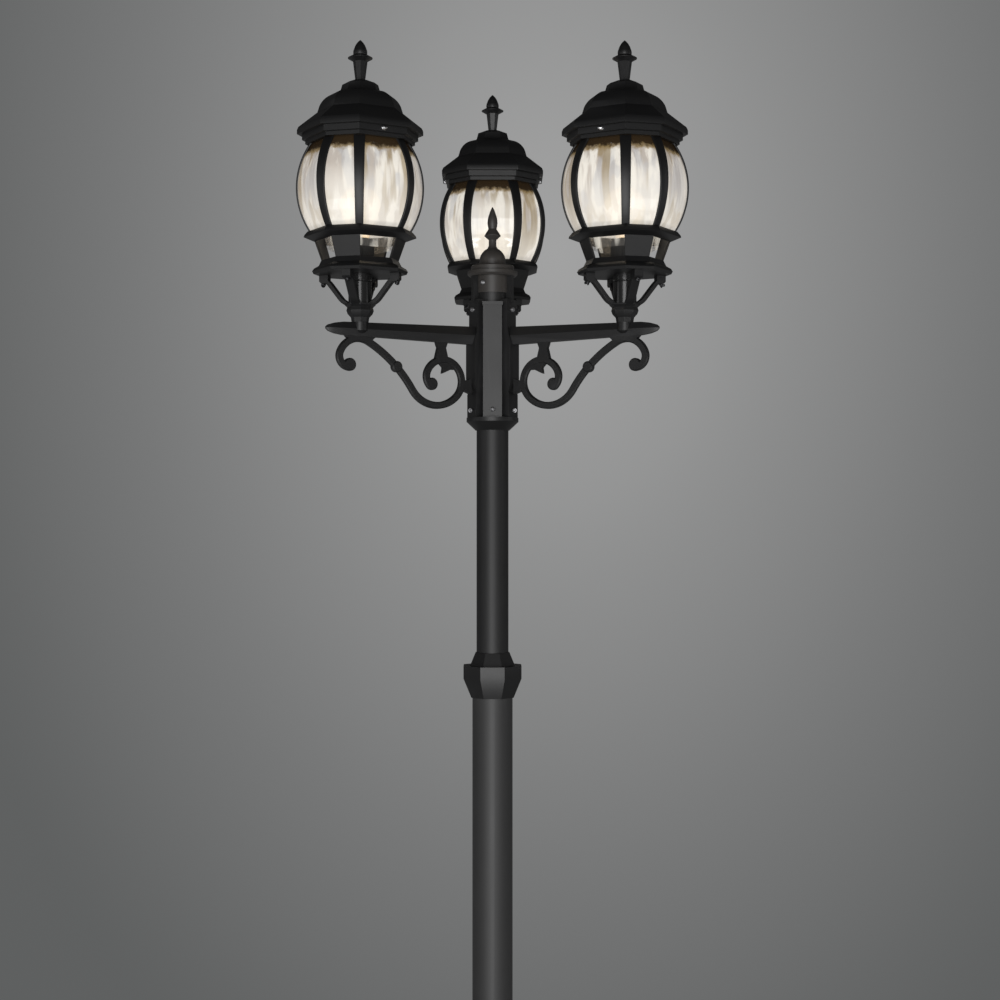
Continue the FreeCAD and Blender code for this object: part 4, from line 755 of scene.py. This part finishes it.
def glass_mesh(name, side):
    """The diffuser's closed shell: neck, shoulder and bulged panes, outside and then inside."""
    foot = glass_half(RIB_LOW)
    mouth = glass_half(GLASS_HIGH)
    outside = [(NECK_FOOT_HALF, GLASS_LOW), (NECK_HALF, RIB_LOW - 0.0004), (NECK_HALF + 0.0006, RIB_LOW),
               (foot - 0.0007, RIB_LOW), (foot, RIB_LOW + 0.0006)]
    for k in range(1, GLASS_ROWS):
        height = RIB_LOW + (GLASS_HIGH - RIB_LOW) * k / GLASS_ROWS
        outside.append((glass_half(height), height))
    outside += [(glass_half(GLASS_HIGH - GLASS_EDGE), GLASS_HIGH - GLASS_EDGE),
                (mouth - GLASS_EDGE, GLASS_HIGH)]
    inside = [(mouth - GLASS_WALL + GLASS_EDGE, GLASS_HIGH)]
    floor = RIB_LOW + SHOULDER
    for k in range(GLASS_ROWS - 1, 0, -1):
        height = floor + (GLASS_HIGH - RIB_LOW - SHOULDER) * k / GLASS_ROWS
        inside.append((glass_half(height, -GLASS_WALL), height))
    inside += [(foot - GLASS_WALL, floor), (NECK_HALF - GLASS_WALL, floor),
               (NECK_FOOT_HALF - GLASS_WALL, GLASS_LOW)]
    inner = GLASS_CORNER - GLASS_WALL * 0.8
    rings = [
        eight_sided_ring(half, height, corner, LANTERN[side], TURN[side])
        for corner, profile in ((GLASS_CORNER, outside), (inner, inside)) for half, height in profile]
    mesh = lofted(name, rings, True)
    mesh.set_sharp_from_angle(angle=math.radians(50))
    return mesh


def rib_mesh(name):
    """One strip over a corner of the glass, along +X, with a hollow that fits the corner."""
    wrap = RIB_WRAP * math.tan(math.pi / 8)
    rings = []
    for k in range(RIB_STEPS + 1):
        height = RIB_LOW + (RIB_HIGH - RIB_LOW) * k / RIB_STEPS
        share = k / RIB_STEPS
        half = (RIB_FOOT_WIDTH + (RIB_HEAD_WIDTH - RIB_FOOT_WIDTH) * share) / 2
        corner = glass_half(height) * math.hypot(1, SIDE_RATIO) + RIB_GAP
        face = corner + RIB_THICK
        edge = RIB_EDGE
        rounding = [(face - edge * 2.2, -half), (face - edge * 1.2, -half + edge * 0.3),
                    (face - edge * 0.35, -half + edge), (face, -half + edge * 2)]
        section = [(corner - half * wrap, -half)] + rounding
        section += [(x, -y) for x, y in reversed(rounding)]
        section += [(corner - half * wrap, half), (corner - half * wrap * 0.5, half * 0.5), (corner, 0),
                    (corner - half * wrap * 0.5, -half * 0.5)]
        rings.append([Vector((x, y, height)) for x, y in section])
    mesh = lofted(name, rings, False)
    mesh.set_sharp_from_angle(angle=math.radians(35))
    return mesh


def screw_mesh(name, length):
    """A pan-head screw along Z with a cross recess; its head's seat is at Z = 0."""
    outline = [(0, -length), (SCREW_SHANK_RADIUS * 0.7, -length), (SCREW_SHANK_RADIUS, -length * 0.85),
               (SCREW_SHANK_RADIUS, 0), (SCREW_HEAD_RADIUS * 0.96, 0),
               (SCREW_HEAD_RADIUS, SCREW_HEAD * 0.18)]
    for k in range(1, 6):
        share = k / 6
        outline.append((SCREW_HEAD_RADIUS * math.cos(share * math.pi / 2) ** 0.55,
                        SCREW_HEAD * (0.18 + 0.82 * math.sin(share * math.pi / 2))))
    outline.append((0, SCREW_HEAD))
    mesh = turned(name, outline, 24)
    piece = shown(name, mesh)
    cutters = []
    for k, (x, y) in enumerate(((RECESS_LONG, RECESS_WIDE), (RECESS_WIDE, RECESS_LONG))):
        bars = bmesh.new()
        bmesh.ops.create_cube(bars, size=2, matrix=Matrix.Translation((0, 0, SCREW_HEAD)) @ Matrix.Diagonal(
            (x, y, RECESS_DEEP, 1)))
        tool = bpy.data.meshes.new(name + "_recess")
        bars.to_mesh(tool)
        bars.free()
        cutter = shown(name + "_recess_" + str(k), tool)
        cutters.append(cutter)
        cut = piece.modifiers.new("recess", "BOOLEAN")
        cut.operation = "DIFFERENCE"
        cut.solver = "EXACT"
        cut.object = cutter
    plain(piece)
    for cutter in cutters:
        bpy.data.objects.remove(cutter)
    piece.data.set_sharp_from_angle(angle=math.radians(40))
    return piece


def seats_of(node):
    """Where each closed shell of a CAD node's screws sits and faces.

    A head is wider than its shank, so the end of a shell that is further from its axis is the head.
    The hollow in a head is a shell of its own, and counts as one more seat."""
    shape = bmesh.new()
    shape.from_mesh(NODES[node].data)
    bmesh.ops.remove_doubles(shape, verts=shape.verts, dist=SCREW_WELD)
    seen = set()
    seats = []
    for start in shape.verts:
        if start in seen:
            continue
        seen.add(start)
        group = [start]
        for vertex in group:
            for edge in vertex.link_edges:
                other = edge.other_vert(vertex)
                if other not in seen:
                    seen.add(other)
                    group.append(other)
        seats.append(seat_of([vertex.co.copy() for vertex in group]))
    shape.free()
    return seats


def seat_of(points):
    """The seat and facing of one screw, which stands upright or lies level, from its points."""
    low = Vector(min(point[k] for point in points) for k in range(3))
    high = Vector(max(point[k] for point in points) for k in range(3))
    centre = (low + high) / 2
    if high.z - low.z > UPRIGHT_SCREW:
        way = Vector((0, 0, 1))
    else:
        flat = Vector((0, 0, 0))
        for point in points:
            across = (point - centre).xy.to_3d()
            flat += across * (1 if across.dot(flat) >= 0 else -1)
        way = flat.normalized()
    along = [(point - centre).dot(way) for point in points]
    wide = [(point - centre - way * reach).length for point, reach in zip(points, along)]
    if along[wide.index(max(wide))] < 0:
        way = -way
        along = [-reach for reach in along]
    axis_point = centre - way * (centre.dot(way))
    return axis_point + way * (centre.dot(way) + max(along) - SCREW_HEAD), way


def seats_mesh(name, seats):
    """One point at each seat, with its facing as an attribute."""
    mesh = bpy.data.meshes.new(name)
    mesh.from_pydata([place for place, _ in seats], [], [])
    facing = mesh.attributes.new("facing", "FLOAT_VECTOR", "POINT")
    facing.data.foreach_set("vector", [number for _, way in seats for number in way])
    return mesh


def bulb_mesh(name, centre):
    """The round envelope whose neck runs into its sphere."""
    down = BULB_MIDDLE - CAP_HIGH
    far = math.hypot(CAP_RADIUS, down)
    swing = math.acos(BULB_RADIUS / far) + math.atan2(CAP_RADIUS, down)
    outline = [(0, CAP_HIGH), (CAP_RADIUS - 0.0004, CAP_HIGH)]
    for k in range(19):
        way = swing + (math.pi - swing) * k / 18
        outline.append((BULB_RADIUS * math.sin(way), BULB_MIDDLE - BULB_RADIUS * math.cos(way)))
    outline[-1] = (0, BULB_HIGH)
    mesh = turned(name, outline, 64)
    mesh.transform(Matrix.Translation(centre))
    return mesh


def cap_mesh(name, centre):
    """The screw cap without its thread: tip, insulator, core and rim."""
    core = CAP_RADIUS - THREAD_DEPTH * 1.1
    outline = [(0, CAP_LOW), (0.0032, CAP_LOW), (0.0045, CAP_LOW + 0.0012), (0.0047, CAP_LOW + 0.0022),
               (0.0105, CAP_LOW + 0.0045), (core, CAP_LOW + 0.0062), (core, CAP_HIGH - 0.0045),
               (CAP_RADIUS - 0.0002, CAP_HIGH - 0.003), (CAP_RADIUS, CAP_HIGH - 0.0005),
               (CAP_RADIUS - 0.0006, CAP_HIGH), (0, CAP_HIGH)]
    mesh = turned(name, outline, 40)
    mesh.transform(Matrix.Translation(centre))
    return mesh


def grip_mesh(name):
    """One upright half-round ridge on the holder's skirt, along +X."""
    low = HOLDER_LOW + GRIP_FOOT
    high = HOLDER_HIGH - GRIP_HEAD
    rings = []
    for height, scale in ((low, 0.3), (low + GRIP_END, 1.0), (high - GRIP_END, 1.0), (high, 0.3)):
        ring = []
        for k in range(7):
            way = -math.pi / 2 + math.pi * k / 6
            x = HOLDER_RADIUS - 0.0004 + GRIP_RADIUS * scale * math.cos(way)
            ring.append(Vector((x, GRIP_RADIUS * scale * math.sin(way), height)))
        rings.append(ring)
    return lofted(name, rings, False)


# ============================================================ stage
def floor_mesh(name, radius):
    """A round, flat floor about the post."""
    rings = 6
    around = 64
    points = [(0, 0, 0)]
    for ring in range(1, rings + 1):
        for k in range(around):
            way = 2 * math.pi * k / around
            points.append((radius * ring / rings * math.cos(way), radius * ring / rings * math.sin(way), 0))
    faces = [(0, 1 + k, 1 + (k + 1) % around) for k in range(around)]
    for ring in range(rings - 1):
        low = 1 + ring * around
        for k in range(around):
            following = (k + 1) % around
            faces.append((low + k, low + around + k, low + around + following, low + following))
    mesh = bpy.data.meshes.new(name)
    mesh.from_pydata(points, [], faces)
    return mesh


def pale_floor(name):
    """Pale grey floor that fades out towards its edge."""
    s = Surface(name)
    places = s.places()
    cloud = s.noise(places, 3.0, 4.0)
    colour = s.mix(cloud, (0.50, 0.50, 0.50, 1), (0.56, 0.56, 0.555, 1))
    far = s.node("ShaderNodeVectorMath", {"operation": "LENGTH"}, {0: places}, output="Value")
    faded = far.stepped(sizes().floor_radius * 0.45, sizes().floor_radius * 0.98)
    solid = s.node("ShaderNodeBsdfPrincipled", {}, {"Base Color": colour, "Roughness": 0.7})
    clear = s.node("ShaderNodeBsdfTransparent")
    both = s.node("ShaderNodeMixShader", {}, {0: faded, 1: solid, 2: clear})
    s.node("ShaderNodeOutputMaterial", {}, {"Surface": both})
    return s.material


def backdrop():
    """A grey backdrop, lightest behind the lanterns, and a dim, graded light for all but the camera."""
    world = bpy.data.worlds.new("studio")
    world.use_nodes = True
    world.node_tree.nodes.clear()
    g = Graph(world.node_tree)
    way = g.node("ShaderNodeTexCoord", output="Generated")
    oval = Vector((1.22, 1.0, 0.84))
    bright = Vector((0.035, 1.0, 0.150)).normalized() * oval
    stretched = g.node("ShaderNodeVectorMath", {"operation": "MULTIPLY"}, {0: way, 1: oval})
    apart = g.node("ShaderNodeVectorMath", {"operation": "DISTANCE"}, {
        0: stretched, 1: bright}, output="Value")
    shade = g.node("ShaderNodeValToRGB", {"stops": BACKDROP_STOPS}, {"Fac": apart})
    height = g.node("ShaderNodeSeparateXYZ", {}, {0: way}).output("Z")
    level = height.stepped(0.75, -0.35)
    ambient = g.mix(level, (0.03, 0.03, 0.03, 1), (0.16, 0.16, 0.16, 1))
    rays = g.node("ShaderNodeLightPath", output="Is Camera Ray")
    seen = rays + rays.output("Is Transmission Ray") * (1 - rays)
    colour = g.mix(seen, ambient, shade)
    light = g.node("ShaderNodeBackground", {}, {"Color": colour, "Strength": 1.0})
    g.node("ShaderNodeOutputWorld", {}, {"Surface": light})
    return world


def soft_lamp(name, place, target, width, height, power):
    """A rectangular light at a place, turned to its target."""
    lamp = bpy.data.lights.new(name, "AREA")
    lamp.shape = "RECTANGLE"
    lamp.size = width
    lamp.size_y = height
    lamp.energy = power
    holder = bpy.data.objects.new(name, lamp)
    bpy.context.scene.collection.objects.link(holder)
    holder.location = place
    holder.rotation_euler = (Vector(target) - Vector(place)).to_track_quat("-Z", "Y").to_euler()


def place_camera():
    """Sets the camera before the post, at the photograph's distance, height and angle."""
    lens = bpy.data.cameras.new("camera")
    lens.lens = CAMERA_LENS
    lens.sensor_width = SENSOR_WIDTH
    camera = bpy.data.objects.new("camera", lens)
    bpy.context.scene.collection.objects.link(camera)
    turn = Matrix.Rotation(math.radians(CAMERA_YAW), 4, "Z")
    tilt = Matrix.Rotation(math.radians(90 + CAMERA_PITCH), 4, "X")
    camera.matrix_world = Matrix.Translation((0, -CAMERA_DISTANCE, CAMERA_HEIGHT)) @ turn @ tilt
    bpy.context.scene.camera = camera


# ============================================================ operators
class LAMPPOST_OT_castings(Operator):
    """Rounds the edges of the castings and gives them their satin powder coat"""
    bl_idname = "lamp_post.castings"
    bl_label = "Castings"

    def execute(self, context):
        finish = material("satin_coat", satin_coat)
        glow_lit_coat = material("warm_coat", satin_coat, LANTERN_GLOW_SHARE)
        shared = ["base", "pole_collar", "hub_column", "hub_cap", "hub_finial"]
        own = ["arm", "scroll", "leg_bracket", "basket", "top_ring"]
        for node in shared + [kind + "_" + side for side in SIDES for kind in own]:
            piece = rounded_copy(node, node + "_casting", sizes().edge)
            # the hub cap and finial take the coat with the lanterns' glow painted in
            coat = glow_lit_coat if node in LANTERN_LIT_PIECES else finish
            dressed(piece, coat, "root", "black_casting", node)
        return {"FINISHED"}


class LAMPPOST_OT_roofs(Operator):
    """Rounds the edges of the roofs and their finials, which lift off the lanterns"""
    bl_idname = "lamp_post.roofs"
    bl_label = "Roofs"

    def execute(self, context):
        finish = material("satin_coat", satin_coat)
        for side in SIDES:
            for kind in ("roof", "roof_finial"):
                node = kind + "_" + side
                piece = rounded_copy(node, node + "_casting", sizes().edge)
                dressed(piece, finish, "roof_" + side + "_set", "black_casting", node)
        return {"FINISHED"}


class LAMPPOST_OT_tubes(Operator):
    """Gives the two pole tubes their coat, the lower one paler with painted light, and the stem tubes their
    gloss
    """
    bl_idname = "lamp_post.tubes"
    bl_label = "Tubes"

    def execute(self, context):
        for node, painted_light in PAINTED_LIGHT_SHARE.items():
            piece = rounded_copy(node, node + "_drawn", sizes().tube_edge)
            dressed(piece, material(node + "_coat", tube_coat, painted_light), "root", "black_tube", node)
        piece = rounded_copy("stem_tubes", "stem_tubes_gloss", sizes().tube_edge)
        dressed(piece, material("gloss_black", gloss_black), "root", "gloss_black", "stem_tubes")
        return {"FINISHED"}


class LAMPPOST_OT_ribs(Operator):
    """Sets eight curved ribs round each diffuser"""
    bl_idname = "lamp_post.ribs"
    bl_label = "Ribs"

    def execute(self, context):
        finish = material("satin_coat", satin_coat)
        for side in SIDES:
            piece = grown(
                "ribs_" + side + "_strips", rib_mesh("rib"), ring_tree(), pairs=4,
                lean=math.atan(SIDE_RATIO), turn=TURN[side], centre=LANTERN[side], finish=finish)
            dressed(piece, finish, "root", "black_casting", "ribs_" + side)
        return {"FINISHED"}


class LAMPPOST_OT_diffusers(Operator):
    """Moulds the clear eight-sided diffusers, lit from inside"""
    bl_idname = "lamp_post.diffusers"
    bl_label = "Diffusers"

    def execute(self, context):
        for side in SIDES:
            name = "diffuser_" + side + "_acrylic"
            finish = material("lit_acrylic_" + side, lit_acrylic, side)
            piece = shown(name, glass_mesh(name, side))
            dressed(piece, finish, "root", "clear_diffuser", "diffuser_" + side)
        return {"FINISHED"}


class LAMPPOST_OT_bulbs(Operator):
    """Makes each bulb's opal envelope and its screw cap with a helical thread"""
    bl_idname = "lamp_post.bulbs"
    bl_label = "Bulbs"

    def execute(self, context):
        for side in SIDES:
            body = "bulb_" + side
            envelope = shown("bulb_" + side + "_envelope", bulb_mesh("envelope", LANTERN[side]))
            dressed(envelope, material("opal_bulb", opal_bulb), body, "bulb_glass", "bulb_glass_" + side)
            finish = material("cap_metal", cap_metal)
            start = LANTERN[side] + Vector((0, 0, CAP_LOW + THREAD_START))
            cap = grown(
                "bulb_" + side + "_cap", cap_mesh("cap", LANTERN[side]), helix_tree(),
                radius=CAP_RADIUS - THREAD_DEPTH, pitch=THREAD_PITCH, turns=THREAD_TURNS - 0.75,
                wire=THREAD_DEPTH * 0.98, start=start, finish=finish)
            dressed(cap, finish, body, "bulb_cap_metal", "bulb_cap_" + side)
        return {"FINISHED"}


class LAMPPOST_OT_holders(Operator):
    """Makes the lampholders with their ring of grip ridges"""
    bl_idname = "lamp_post.holders"
    bl_label = "Lampholders"

    def execute(self, context):
        finish = material("holder_black", holder_black)
        for side in SIDES:
            node = "lampholder_" + side
            piece = rounded_copy(node, node + "_body", sizes().tube_edge)
            dressed(piece, finish, "root", "holder_black", node)
            grips = grown(
                node + "_grips", grip_mesh("grip"), ring_tree(), pairs=GRIP_COUNT // 2,
                lean=math.pi / GRIP_COUNT, turn=TURN[side], centre=LANTERN[side], finish=finish)
            dressed(grips, finish, "root", "holder_black")
        return {"FINISHED"}


class LAMPPOST_OT_screws(Operator):
    """Sets a cross-recessed screw on every screw seat of the frame"""
    bl_idname = "lamp_post.screws"
    bl_label = "Screws"

    def execute(self, context):
        steel = material("bright_steel", bright_steel)
        dull = material("dull_steel", dull_steel)
        post_screws = ("hub_screws", "collar_screws", "base_screws")
        sets = [(node, "root", dull, "steel_screws") for node in post_screws]
        sets += [("roof_screws_" + side, "roof_" + side + "_set", steel, "steel_screws") for side in SIDES]
        sets.append(("leg_screws", "root", material("black_steel", black_steel), "black_screws"))
        for seed, (node, body, finish, slot) in enumerate(sets):
            part = screw_mesh("screw_for_" + node, SCREW_LENGTH)
            seats = seats_of(node)
            piece = grown(
                node + "_steel", seats_mesh(node + "_seats", seats), seats_tree(), part=part,
                spin=math.pi / 2, seed=seed, finish=finish)
            bpy.data.objects.remove(part)
            dressed(piece, finish, body, slot, node)
        return {"FINISHED"}


class LAMPPOST_OT_wiring(Operator):
    """Gives the leads, connectors, nipples, nuts and contacts their finishes"""
    bl_idname = "lamp_post.wiring"
    bl_label = "Wiring"

    def execute(self, context):
        for node in ("mains_lead", "lamp_leads"):
            kept(node, material("lead_sheath", lead_sheath))
        for node in ("hub_connector", "terminal_block"):
            kept(node, material("moulded_cream", moulded_cream))
        for node in ("nipples", "nipple_nuts"):
            kept(node, material("zinc_steel", zinc_steel))
        kept("lampholder_contacts", material("contact_brass", contact_brass))
        return {"FINISHED"}


class LAMPPOST_OT_stage(Operator):
    """Sets the pale floor, the backdrop, the soft lights and the camera"""
    bl_idname = "lamp_post.stage"
    bl_label = "Stage"

    def execute(self, context):
        floor = shown("floor", floor_mesh("floor", sizes().floor_radius))
        floor.data.materials.append(material("pale_floor", pale_floor))
        context.scene.world = backdrop()
        for lamp in SOFT_LAMPS:
            soft_lamp(*lamp)
        context.scene.view_settings.view_transform = "Standard"
        place_camera()
        return {"FINISHED"}


class LAMPPOST_PT_panel(Panel):
    """Lists the lamp post's settings and the steps that build it"""
    bl_idname = "LAMPPOST_PT_panel"
    bl_label = "Lamp Post"
    bl_space_type = "VIEW_3D"
    bl_region_type = "UI"
    bl_category = "Lamp Post"

    def draw(self, context):
        for settings in (sizes(), looks()):
            for name in settings.bl_rna.properties.keys():
                if name not in ("name", "rna_type"):
                    self.layout.prop(settings, name)
        for step in STEPS:
            self.layout.operator(step.bl_idname)


STEPS = (
    LAMPPOST_OT_castings, LAMPPOST_OT_roofs, LAMPPOST_OT_tubes, LAMPPOST_OT_ribs, LAMPPOST_OT_diffusers,
    LAMPPOST_OT_bulbs, LAMPPOST_OT_holders, LAMPPOST_OT_screws, LAMPPOST_OT_wiring, LAMPPOST_OT_stage,
)
CLASSES = (LampPostSizes, LampPostLooks) + STEPS + (LAMPPOST_PT_panel,)


def register():
    for one in CLASSES:
        bpy.utils.register_class(one)
    bpy.types.Scene.lamp_post_sizes = PointerProperty(type=LampPostSizes)
    bpy.types.Scene.lamp_post_looks = PointerProperty(type=LampPostLooks)


def unregister():
    del bpy.types.Scene.lamp_post_looks
    del bpy.types.Scene.lamp_post_sizes
    for one in reversed(CLASSES):
        bpy.utils.unregister_class(one)


def main():
    register()
    for step in STEPS:
        group, name = step.bl_idname.split(".")
        getattr(getattr(bpy.ops, group), name)()


if __name__ == "__main__":
    main()
